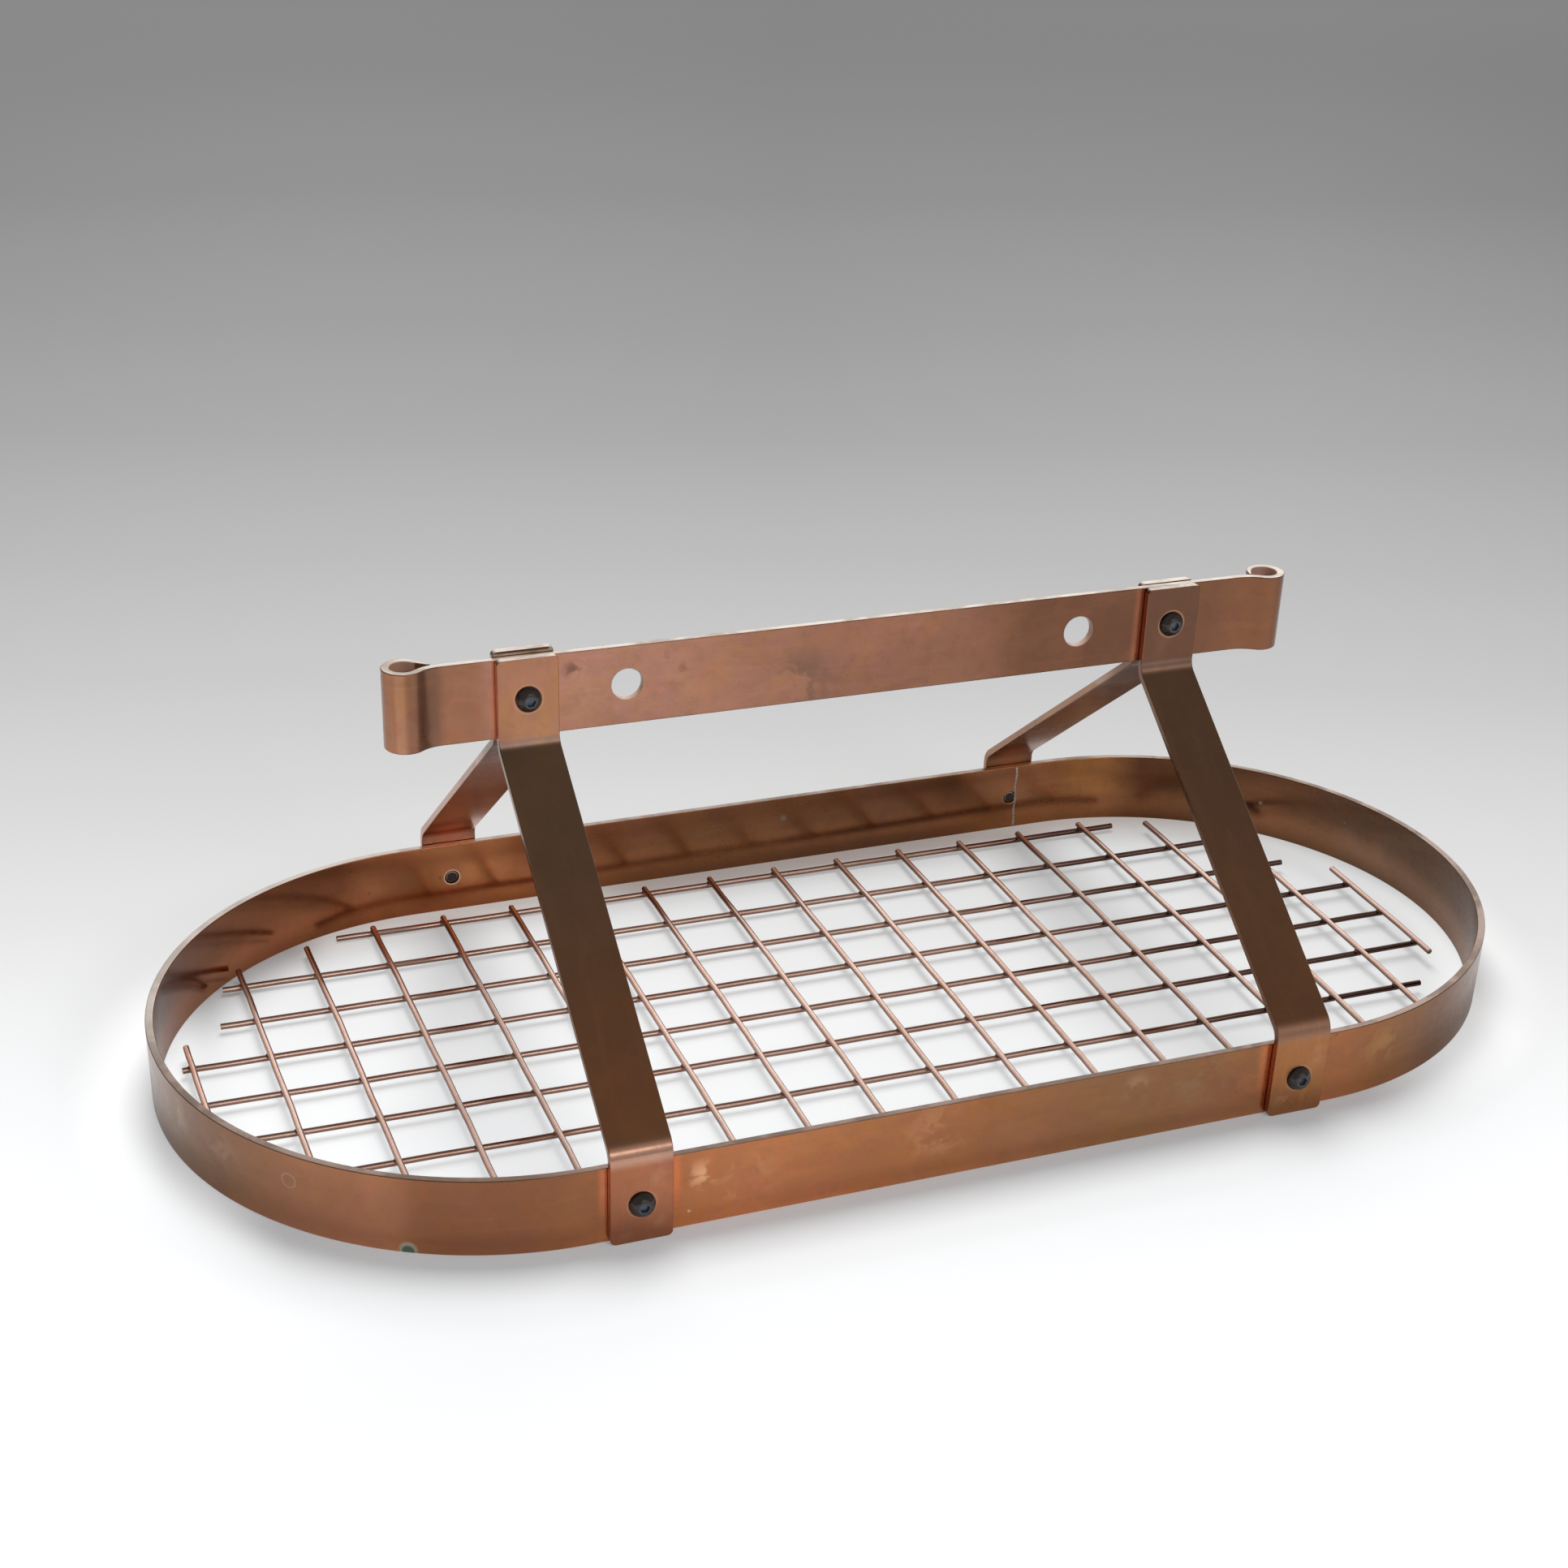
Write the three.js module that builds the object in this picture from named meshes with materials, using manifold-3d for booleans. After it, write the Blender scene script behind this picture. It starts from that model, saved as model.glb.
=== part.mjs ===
// Hanging pot rack: an oval ring of flat copper bar, carried by four bent straps from a short
// top bar with rolled ends, and a loose grid of welded copper wire lying inside the ring.
// Millimetres, +Z up. The rack stands on its ring: the origin is the middle of the oval, at the
// height of the ring's lower edge. +X runs along the oval and +Y points to the back.

import * as THREE from 'three';
import { mergeVertices } from 'three/addons/utils/BufferGeometryUtils.js';
import Module from 'manifold-3d';

const wasm = await Module();
wasm.setup();

// Bar stock and seats
const barHeight = 50.8;          // 2 in flat bar, on edge, for the ring and the top bar
const barThickness = 5;
const strapWidth = 38.1;         // 1 1/2 in flat bar for the four straps
const seat = 0.3;                // gap between pieces that are clamped or laid together

// Oval ring
const ringEndRadius = 213;       // outer face of the half-round ends
const ringHalfStraight = 244;    // from the middle to where each end starts
const ringArcSteps = 48;         // facets in each half-round end

// Straps
const strapLeftX = -216.3;       // middle of the straps at the left
const strapRightX = 218.1;       // and at the right
const strapFoot = 0;             // the straps reach down to the ring's lower edge
const strapLowerBend = 60;       // height of the bend over the ring
const strapUpperBends = {        // height of the bend under the top bar's bolts
  front_left: 218.5,
  front_right: 214.6,
  back_left: 218.5,
  back_right: 218.5,
};
const strapTops = {              // upper ends, cut by hand a little above the top bar
  front_left: 274.6,
  front_right: 272,
  back_left: 276.4,
  back_right: 272.3,
};
const strapBendRadius = 12;      // of the strap's middle line
const strapCornerRadius = 3;     // softened corners of both ends

// Top bar
const topBarY = 6;               // the bar stands a little behind the oval's middle
const topBarMiddle = 247.25;     // height of the bar's middle
const topBarTilt = 0.2;          // degrees: its right end hangs a little lower
const topBarHolesUp = 0.5;       // its holes are drilled a little above the bar's middle line
const swingStart = 268;          // where the bar starts to swing forward into each rolled end
const hangingHoleX = 152.8;
const hangingHoleRadius = 10;
const eyeY = 3.5;                // the roll stands a little behind the bar's middle line
const eyeRadius = 10.5;          // of the roll's middle line, round a bore of 8 mm radius
// Each end is rolled by hand: middle of the roll, where its tail leaves it in degrees round the
// eye, and the tail's straight run back to the bar, drawn down to a thin lip
const leftEye = { x: 289, tailTurn: 134, tailRun: 11.7, tailThickness: 1.8 };
const rightEye = { x: 291.4, tailTurn: 160, tailRun: 6.5, tailThickness: 2.6 };

// Fasteners: 3/8 in button-head socket screws
const screwRadius = 4.75;
const headRadius = 8;
const headHeight = 5;
const socketAcross = 5.6;        // hexagon socket, across flats
const socketDepth = 3;
const screwSides = 20;
const ringScrewZ = 25.4;
const nutAcross = 14.3;
const nutHeight = 8.3;
const boltBeyondNut = 2;

// Wire grid
const wireRadius = 2;
const wireSides = 10;
const weldSink = 0.6;            // how far each cross wire is pressed down into a long wire
const gridShift = new THREE.Vector3(-9.25, -10.2, 0.3);
const gridTurn = -0.68;          // degrees: the loose grid lies a little askew in the ring
// The long wires from front to back: where each lies, and its ends, cut to follow the oval
const longWires = [
  { at: -184.7, ends: [-285, 285] },
  { at: -141, ends: [-378, 378] },
  { at: -95.7, ends: [-393.5, 391.7] },
  { at: -46.5, ends: [-425, 421.5] },
  { at: 0.3, ends: [-425, 422.2] },
  { at: 46, ends: [-425.3, 421.4] },
  { at: 94.3, ends: [-393.5, 391.2] },
  { at: 142.7, ends: [-384, 381] },
  { at: 192.6, ends: [-297.5, 299.2] },
];
// The cross wires from left to right
const crossWires = [
  { at: -419.3, ends: [-67, 68.6] },
  { at: -370.3, ends: [-146, 159.8] },
  { at: -320.9, ends: [-172, 178.2] },
  { at: -271.6, ends: [-190, 194.5] },
  { at: -222.1, ends: [-190, 195.2] },
  { at: -172.6, ends: [-190, 195.8] },
  { at: -124.1, ends: [-190, 195.4] },
  { at: -74.5, ends: [-190, 195] },
  { at: -25, ends: [-190, 195.6] },
  { at: 24.5, ends: [-190, 195.9] },
  { at: 73.7, ends: [-190, 195.5] },
  { at: 123, ends: [-190, 196.4] },
  { at: 172.5, ends: [-190, 195.4] },
  { at: 221.2, ends: [-190, 196.1] },
  { at: 272.5, ends: [-190, 196.9] },
  { at: 322.4, ends: [-172, 182.4] },
  { at: 372.5, ends: [-146, 160] },
  { at: 418.2, ends: [-65.4, 67.2] },
];

// Colours: aged copper, darkest on the straps, brightest on the wires, and black steel screws
function metal(color, roughness, metalness) {
  return new THREE.MeshStandardMaterial({ color, roughness, metalness });
}

// A closed solid from a geometry: corners that meet are joined and empty faces dropped.
function solid(geometry) {
  const bare = geometry.clone();
  bare.deleteAttribute('normal');
  bare.deleteAttribute('uv');
  const merged = mergeVertices(bare, 1e-4);
  const faces = [];
  const index = merged.index.array;
  for (let i = 0; i < index.length; i += 3) {
    const [a, b, c] = [index[i], index[i + 1], index[i + 2]];
    if (a !== b && b !== c && c !== a) {
      faces.push(a, b, c);
    }
  }
  const vertProperties = new Float32Array(merged.attributes.position.array);
  const triVerts = new Uint32Array(faces);
  return new wasm.Manifold(new wasm.Mesh({ numProp: 3, vertProperties, triVerts }));
}

function geometryOf(body) {
  const mesh = body.getMesh();
  const geometry = new THREE.BufferGeometry();
  geometry.setAttribute('position', new THREE.BufferAttribute(mesh.vertProperties, 3));
  geometry.setIndex(new THREE.BufferAttribute(mesh.triVerts, 1));
  geometry.computeVertexNormals();
  return geometry;
}

// A round rod along Y, from one y to another, through the given x and z. Its flats, not its
// corners, lie on the radius when it is a hole.
function rodAlongY(radius, from, to, x, z, sides, isHole = false) {
  const reach = isHole ? radius / Math.cos(Math.PI / sides) : radius;
  const rod = new THREE.CylinderGeometry(reach, reach, to - from, sides);
  rod.translate(x, (from + to) / 2, z);
  return rod;
}

// A strip's middle line, followed through its straight runs and its bends. Each move is a run
// or a bend to the left (degrees, negative to the right) on a radius, and may end thinner.
function middleLine(start, heading, moves, thickness, stepDegrees) {
  let [x, y] = start;
  let direction = THREE.MathUtils.degToRad(heading);
  const line = [{ x, y, direction, half: thickness / 2 }];
  for (const { run, bend, radius, thin } of moves) {
    if (run !== undefined) {
      x += run * Math.cos(direction);
      y += run * Math.sin(direction);
      line.push({ x, y, direction, half: (thin ?? thickness) / 2 });
      continue;
    }
    const steps = Math.ceil(Math.abs(bend) / stepDegrees);
    const side = Math.sign(bend) * Math.PI / 2;
    const centreX = x + radius * Math.cos(direction + side);
    const centreY = y + radius * Math.sin(direction + side);
    const turn = THREE.MathUtils.degToRad(bend) / steps;
    for (let i = 0; i < steps; i += 1) {
      direction += turn;
      x = centreX - radius * Math.cos(direction + side);
      y = centreY - radius * Math.sin(direction + side);
      line.push({ x, y, direction, half: thickness / 2 });
    }
  }
  return line;
}

// One face of the strip: the middle line moved to its left (1) or right (-1).
function stripFace(line, side) {
  return line.map(({ x, y, direction, half }) => new THREE.Vector2(
    x - side * half * Math.sin(direction),
    y + side * half * Math.cos(direction),
  ));
}

function extrude(shape, depth, curveSegments = 12) {
  return new THREE.ExtrudeGeometry(shape, { depth, bevelEnabled: false, curveSegments });
}

// A racetrack oval: two half circles joined by straight sides.
function ovalPath(PathType, radius) {
  const path = new PathType();
  path.moveTo(-ringHalfStraight, -radius);
  path.lineTo(ringHalfStraight, -radius);
  path.absarc(ringHalfStraight, 0, radius, -Math.PI / 2, Math.PI / 2, false);
  path.lineTo(-ringHalfStraight, radius);
  path.absarc(-ringHalfStraight, 0, radius, Math.PI / 2, Math.PI * 3 / 2, false);
  return path;
}

// The ring is one bar bent round the oval, with four tapped holes for the strap screws.
function ovalRing() {
  const oval = ovalPath(THREE.Shape, ringEndRadius);
  oval.holes.push(ovalPath(THREE.Path, ringEndRadius - barThickness));
  let ring = solid(extrude(oval, barHeight, ringArcSteps / 2));
  for (const x of [strapLeftX, strapRightX]) {
    for (const y of [-ringEndRadius, ringEndRadius]) {
      const radius = screwRadius + seat;
      const hole = rodAlongY(radius, y - 8, y + 8, x, ringScrewZ, screwSides, true);
      ring = ring.subtract(solid(hole));
    }
  }
  return geometryOf(ring);
}

// A strap for the front of the rack, centred on x = 0: a tab flat on the ring's outer face, a
// sloping leg and a tab flat on the top bar, bent from one length of bar. The bar's middle is at
// barY, and the strap bends at the height of upperBend, ends at its top and is drilled at boltZ.
function legStrap(barY, upperBend, top, boltZ) {
  const lowerY = -ringEndRadius - seat - barThickness / 2;
  const upperY = barY - barThickness / 2 - seat - barThickness / 2;
  const slope = Math.atan2(upperBend - strapLowerBend, upperY - lowerY);
  const bend = Math.PI / 2 - slope;
  const bendRun = strapBendRadius * Math.tan(bend / 2);
  const leg = Math.hypot(upperBend - strapLowerBend, upperY - lowerY) - 2 * bendRun;
  const turn = THREE.MathUtils.radToDeg(bend);
  const line = middleLine([lowerY, strapFoot], 90, [
    { run: strapLowerBend - strapFoot - bendRun },
    { bend: -turn, radius: strapBendRadius },
    { run: leg },
    { bend: turn, radius: strapBendRadius },
    { run: top - upperBend - bendRun },
  ], barThickness, 9);
  const profile = new THREE.Shape([...stripFace(line, -1), ...stripFace(line, 1).reverse()]);
  const bar = extrude(profile, strapWidth);
  const alongX = new THREE.Matrix4().makeBasis(
    new THREE.Vector3(0, 1, 0),
    new THREE.Vector3(0, 0, 1),
    new THREE.Vector3(1, 0, 0),
  );
  bar.applyMatrix4(alongX);
  bar.translate(-strapWidth / 2, 0, 0);

  // The front view of the strap, whose corners are rounded at both ends.
  const outline = new THREE.Shape();
  const half = strapWidth / 2;
  const r = strapCornerRadius;
  outline.moveTo(-half + r, strapFoot);
  outline.lineTo(half - r, strapFoot);
  outline.absarc(half - r, strapFoot + r, r, -Math.PI / 2, 0, false);
  outline.lineTo(half, top - r);
  outline.absarc(half - r, top - r, r, 0, Math.PI / 2, false);
  outline.lineTo(-half + r, top);
  outline.absarc(-half + r, top - r, r, Math.PI / 2, Math.PI, false);
  outline.lineTo(-half, strapFoot + r);
  outline.absarc(-half + r, strapFoot + r, r, Math.PI, Math.PI * 3 / 2, false);
  const frontView = extrude(outline, 2 * ringEndRadius, 2);
  frontView.rotateX(Math.PI / 2);

  const holeRadius = screwRadius + 2 * seat;
  const lowerHole = rodAlongY(holeRadius, lowerY - 8, lowerY + 8, 0, ringScrewZ, screwSides, true);
  const upperHole = rodAlongY(holeRadius, upperY - 8, upperY + 8, 0, boltZ, screwSides, true);
  const strap = solid(bar).intersect(solid(frontView));
  return geometryOf(strap.subtract(solid(lowerHole)).subtract(solid(upperHole)));
}

// The height of the top bar's holes, which follow its slight tilt.
function barHoleZ(x) {
  return topBarMiddle + topBarHolesUp - x * Math.tan(THREE.MathUtils.degToRad(topBarTilt));
}

// Half of the top bar about its own middle line, seen from above: straight, then swung forward
// and rolled round to the back, until the thinned tail comes back to the bar.
function halfBar({ x, tailTurn, tailRun, tailThickness }) {
  const swing = x - swingStart;
  const swingRadius = (swing ** 2 + eyeY ** 2 - eyeRadius ** 2) / (2 * (eyeRadius - eyeY));
  const swingTurn = THREE.MathUtils.radToDeg(Math.asin(swing / (swingRadius + eyeRadius)));
  return middleLine([0, 0], 0, [
    { run: swingStart },
    { bend: -swingTurn, radius: swingRadius },
    { bend: swingTurn + 90 + tailTurn, radius: eyeRadius },
    { run: tailRun, thin: tailThickness },
  ], barThickness, 10);
}

// The top bar, rolled at both ends, with four holes through it.
function topBar() {
  const right = halfBar(rightEye);
  const left = halfBar(leftEye);
  const mirrored = (points) => points.map((p) => new THREE.Vector2(-p.x, p.y));
  const plan = new THREE.Shape([
    ...mirrored(stripFace(left, -1)).reverse().slice(0, -1),
    ...stripFace(right, -1).slice(1),
    ...stripFace(right, 1).slice(1).reverse(),
    ...mirrored(stripFace(left, 1)).slice(1),
  ]);
  const bar = extrude(plan, barHeight);
  bar.translate(0, 0, -barHeight / 2);
  bar.rotateY(THREE.MathUtils.degToRad(topBarTilt));
  bar.translate(0, 0, topBarMiddle);
  let cut = solid(bar);
  for (const x of [-hangingHoleX, hangingHoleX]) {
    cut = cut.subtract(solid(rodAlongY(hangingHoleRadius, -8, 8, x, barHoleZ(x), 32, true)));
  }
  for (const x of [strapLeftX, strapRightX]) {
    const bolt = rodAlongY(screwRadius + seat, -8, 8, x, barHoleZ(x), screwSides, true);
    cut = cut.subtract(solid(bolt));
  }
  return geometryOf(cut);
}

// A button-head screw along Y: its head points to -Y and its shank starts at y = 0.
function buttonScrew(shankLength) {
  const domeRadius = (headRadius ** 2 + headHeight ** 2) / (2 * headHeight) * 1.02;
  const rim = 0.9;
  const profile = [new THREE.Vector2(0, -headHeight)];
  const flat = socketAcross * 0.68;
  const steps = 5;
  for (let i = 0; i <= steps; i += 1) {
    const x = flat + (headRadius - flat) * i / steps;
    const drop = domeRadius - Math.sqrt(domeRadius ** 2 - (x - flat) ** 2);
    const fall = domeRadius - Math.sqrt(domeRadius ** 2 - (headRadius - flat) ** 2);
    profile.push(new THREE.Vector2(x, -headHeight + drop / fall * (headHeight - rim)));
  }
  profile.push(new THREE.Vector2(headRadius, 0));
  profile.push(new THREE.Vector2(screwRadius, 0));
  profile.push(new THREE.Vector2(screwRadius, shankLength - 1));
  profile.push(new THREE.Vector2(screwRadius - 1, shankLength));
  profile.push(new THREE.Vector2(0, shankLength));
  const screw = solid(new THREE.LatheGeometry(profile, screwSides));
  const corner = socketAcross / Math.sqrt(3);
  const socket = new THREE.CylinderGeometry(corner, corner, 2 * socketDepth, 6);
  socket.translate(0, -headHeight, 0);
  return geometryOf(screw.subtract(solid(socket)));
}

// A hexagon nut along Y, its seat at y = 0.
function hexNut() {
  const corner = nutAcross / Math.sqrt(3);
  const nut = new THREE.CylinderGeometry(corner, corner, nutHeight, 6);
  nut.translate(0, nutHeight / 2, 0);
  const bore = rodAlongY(screwRadius + seat, -1, nutHeight + 1, 0, 0, screwSides, true);
  return geometryOf(solid(nut).subtract(solid(bore)));
}

// A wire along Y, a flat of its section underneath.
function wire(halfLength, radius = wireRadius) {
  const start = Math.PI / wireSides;
  const corner = radius / Math.cos(start);
  return new THREE.CylinderGeometry(
    corner,
    corner,
    2 * halfLength,
    wireSides,
    1,
    false,
    start,
  );
}

// A long wire, turned along X.
function longWire([from, to]) {
  const rod = wire((to - from) / 2);
  rod.rotateZ(Math.PI / 2);
  rod.translate((from + to) / 2, 0, 0);
  return rod;
}

// A cross wire, saddled where it is pressed on each long wire that it crosses.
function crossWire([from, to]) {
  const rod = wire((to - from) / 2);
  rod.translate(0, (from + to) / 2, 0);
  let body = solid(rod);
  for (const { at } of longWires) {
    if (at > from && at < to) {
      const saddle = wire(2 * wireRadius, wireRadius + seat);
      saddle.rotateZ(Math.PI / 2);
      saddle.translate(0, at, weldSink - 2 * wireRadius);
      body = body.subtract(solid(saddle));
    }
  }
  return geometryOf(body);
}

function place(parent, name, geometry, material, position = [0, 0, 0], turn = 0) {
  const mesh = new THREE.Mesh(geometry, material);
  mesh.name = name;
  mesh.position.set(...position);
  mesh.rotation.z = turn;
  parent.add(mesh);
}

const potRack = new THREE.Group();
const rack = new THREE.Group();
const grid = new THREE.Group();
potRack.add(rack, grid);

const ringCopper = () => metal(0x7d5a44, 0.42, 0.9);
const strapCopper = () => metal(0x5a4132, 0.45, 0.9);
const barCopper = () => metal(0x96694f, 0.4, 0.9);
const wireCopper = () => metal(0xb8805f, 0.35, 0.95);
const blackSteel = () => metal(0x1b1b1e, 0.45, 0.7);

place(rack, 'oval_ring', ovalRing(), ringCopper());
place(rack, 'top_bar', topBar(), barCopper(), [0, topBarY, 0]);

// Each corner of the rack: a strap and its ring screw, turned half round for the back.
const strapOutside = ringEndRadius + seat + barThickness + seat;
const ringScrewLength = strapOutside - (ringEndRadius - barThickness) - seat;
const corners = [
  { name: 'front_left', x: strapLeftX, outward: -1, turn: 0 },
  { name: 'front_right', x: strapRightX, outward: -1, turn: 0 },
  { name: 'back_left', x: strapLeftX, outward: 1, turn: Math.PI },
  { name: 'back_right', x: strapRightX, outward: 1, turn: Math.PI },
];
for (const { name, x, outward, turn } of corners) {
  const strap = legStrap(
    -outward * topBarY, strapUpperBends[name], strapTops[name], barHoleZ(x),
  );
  const screwAt = [x, outward * strapOutside, ringScrewZ];
  place(rack, `strap_${name}`, strap, strapCopper(), [x, 0, 0], turn);
  place(rack, `ring_screw_${name}`, buttonScrew(ringScrewLength), blackSteel(), screwAt, turn);
}

// At each end of the top bar, one bolt clamps a front and a back strap to it.
const clampFace = barThickness / 2 + seat + barThickness + seat;
const boltLength = 2 * clampFace + nutHeight + boltBeyondNut;
for (const [name, x] of [['left', strapLeftX], ['right', strapRightX]]) {
  const headAt = [x, topBarY - clampFace, barHoleZ(x)];
  const nutAt = [x, topBarY + clampFace, barHoleZ(x)];
  place(rack, `clamp_bolt_${name}`, buttonScrew(boltLength), blackSteel(), headAt);
  place(rack, `clamp_nut_${name}`, hexNut(), blackSteel(), nutAt);
}

// The grid lies inside the ring, a little off its middle: long wires below, cross wires above.
grid.position.copy(gridShift);
grid.rotation.z = THREE.MathUtils.degToRad(gridTurn);
const longZ = wireRadius;
const crossZ = 3 * wireRadius - weldSink;
longWires.forEach(({ at, ends }, i) => {
  place(grid, `long_wire_${i + 1}`, longWire(ends), wireCopper(), [0, at, longZ]);
});
crossWires.forEach(({ at, ends }, i) => {
  place(grid, `cross_wire_${i + 1}`, crossWire(ends), wireCopper(), [at, 0, crossZ]);
});

export default potRack;
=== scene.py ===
# The hanging pot rack dressed for its picture: bars with softened edges, drilled holes and black
# button-head screws over a welded wire grid, all in aged copper, on a pale studio floor.
import math
import bmesh
import bpy
from mathutils import Matrix, Vector


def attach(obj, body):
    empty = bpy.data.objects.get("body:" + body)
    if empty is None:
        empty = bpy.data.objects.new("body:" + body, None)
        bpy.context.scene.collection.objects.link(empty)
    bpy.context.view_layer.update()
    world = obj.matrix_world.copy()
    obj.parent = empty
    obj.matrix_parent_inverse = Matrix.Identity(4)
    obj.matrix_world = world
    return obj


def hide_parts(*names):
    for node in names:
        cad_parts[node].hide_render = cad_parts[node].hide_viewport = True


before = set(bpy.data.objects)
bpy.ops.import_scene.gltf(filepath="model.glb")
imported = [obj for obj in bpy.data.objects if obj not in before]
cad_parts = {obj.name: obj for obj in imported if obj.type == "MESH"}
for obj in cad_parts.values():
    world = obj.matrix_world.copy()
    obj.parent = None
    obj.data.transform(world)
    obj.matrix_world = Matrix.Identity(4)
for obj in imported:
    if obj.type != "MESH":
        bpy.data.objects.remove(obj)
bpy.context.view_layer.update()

MM = 0.001

# Sizes of the rack, in millimetres, as its parts are made
BAR_HEIGHT = 50.8
BAR_THICKNESS = 5.0
EDGE_SOFTENING = 0.7
SEAT = 0.3
RING_END_RADIUS = 213.0
RING_HALF_STRAIGHT = 244.0
RING_MIDDLE = RING_END_RADIUS - BAR_THICKNESS / 2
RING_INSIDE = RING_END_RADIUS - BAR_THICKNESS
RING_SEAM_X = 222.5
RING_SCREW_Z = 25.4
STRAP_WIDTH = 38.1
STRAP_XS = (-216.3, 218.1)
STRAP_LEFT_X, STRAP_RIGHT_X = STRAP_XS
STRAP_LOWER_BEND = 60.0
STRAP_BEND_RADIUS = 12.0
STRAP_CORNER_RADIUS = 3.0
# Each strap: its x, the side of the ring, and the height of its upper bend and of its top
STRAPS = {
    "front_left": (STRAP_LEFT_X, -1, 218.5, 274.6),
    "front_right": (STRAP_RIGHT_X, -1, 214.6, 272.0),
    "back_left": (STRAP_LEFT_X, 1, 218.5, 276.4),
    "back_right": (STRAP_RIGHT_X, 1, 218.5, 272.3),
}
TOP_BAR_Y = 6.0
TOP_BAR_MIDDLE = 247.25
TOP_BAR_TILT = 0.2
TOP_BAR_HOLES_UP = 0.5
SWING_START = 268.0
HANGING_HOLE_X = 152.8
HANGING_HOLE_RADIUS = 10.0
EYE_Y = 3.5
EYE_RADIUS = 10.5
# Each rolled end: its middle, where the tail leaves it, the tail's run, and how thin the bar is
# at the end of the roll and of the tail
LEFT_EYE = (289.0, 134.0, 11.7, 5.0, 1.8)
RIGHT_EYE = (291.4, 160.0, 6.5, 3.2, 1.4)
SCREW_RADIUS = 4.75
SCREW_FIT = 0.15
STRAP_HOLE_FIT = 0.3
HEAD_RADIUS = 8.0
HEAD_HEIGHT = 5.0
HEAD_RIM = 0.9
SOCKET_ACROSS = 5.6
SOCKET_DEPTH = 3.0
SOFT_EDGE = 0.12
THREAD_PITCH = 1.6
THREAD_DEPTH = 0.75
NUT_ACROSS = 14.3
NUT_HEIGHT = 8.3
BOLT_BEYOND_NUT = 2.0
WIRE_RADIUS = 2.0
WELD_BEAD_RADIUS = 2.7
WELD_SINK = 0.6
GRID_MIDDLE = (-9.25, -10.2, 0.3)
GRID_TURN = -0.68
WIRE_WAVE = 0.35
# Long wires, front to back, and cross wires, left to right: place and both ends
LONG_WIRES = (
    (-184.7, -285.0, 285.0), (-141.0, -378.0, 378.0), (-95.7, -393.5, 391.7),
    (-46.5, -425.0, 421.5), (0.3, -425.0, 422.2), (46.0, -425.3, 421.4),
    (94.3, -393.5, 391.2), (142.7, -384.0, 381.0), (192.6, -297.5, 299.2),
)
CROSS_WIRES = (
    (-419.3, -67.0, 68.6), (-370.3, -146.0, 159.8), (-320.9, -172.0, 178.2),
    (-271.6, -190.0, 194.5), (-222.1, -190.0, 195.2), (-172.6, -190.0, 195.8),
    (-124.1, -190.0, 195.4), (-74.5, -190.0, 195.0), (-25.0, -190.0, 195.6),
    (24.5, -190.0, 195.9), (73.7, -190.0, 195.5), (123.0, -190.0, 196.4),
    (172.5, -190.0, 195.4), (221.2, -190.0, 196.1), (272.5, -190.0, 196.9),
    (322.4, -172.0, 182.4), (372.5, -146.0, 160.0), (418.2, -65.4, 67.2),
)


def bar_hole_z(x):
    """The height of the top bar's holes, which follow its slight tilt."""
    return TOP_BAR_MIDDLE + TOP_BAR_HOLES_UP - x * math.tan(math.radians(TOP_BAR_TILT))


# ---------------------------------------------------------------- nodes

def add_node(tree, kind, values=None, **settings):
    """Adds a node; values are numbers, colours or sockets for its inputs, by name or index."""
    node = tree.nodes.new(kind)
    for name, value in settings.items():
        setattr(node, name, value)
    for key, value in (values or {}).items():
        socket = node.inputs[key]
        if isinstance(value, bpy.types.NodeSocket):
            tree.links.new(value, socket)
        else:
            socket.default_value = value
    return node


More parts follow.
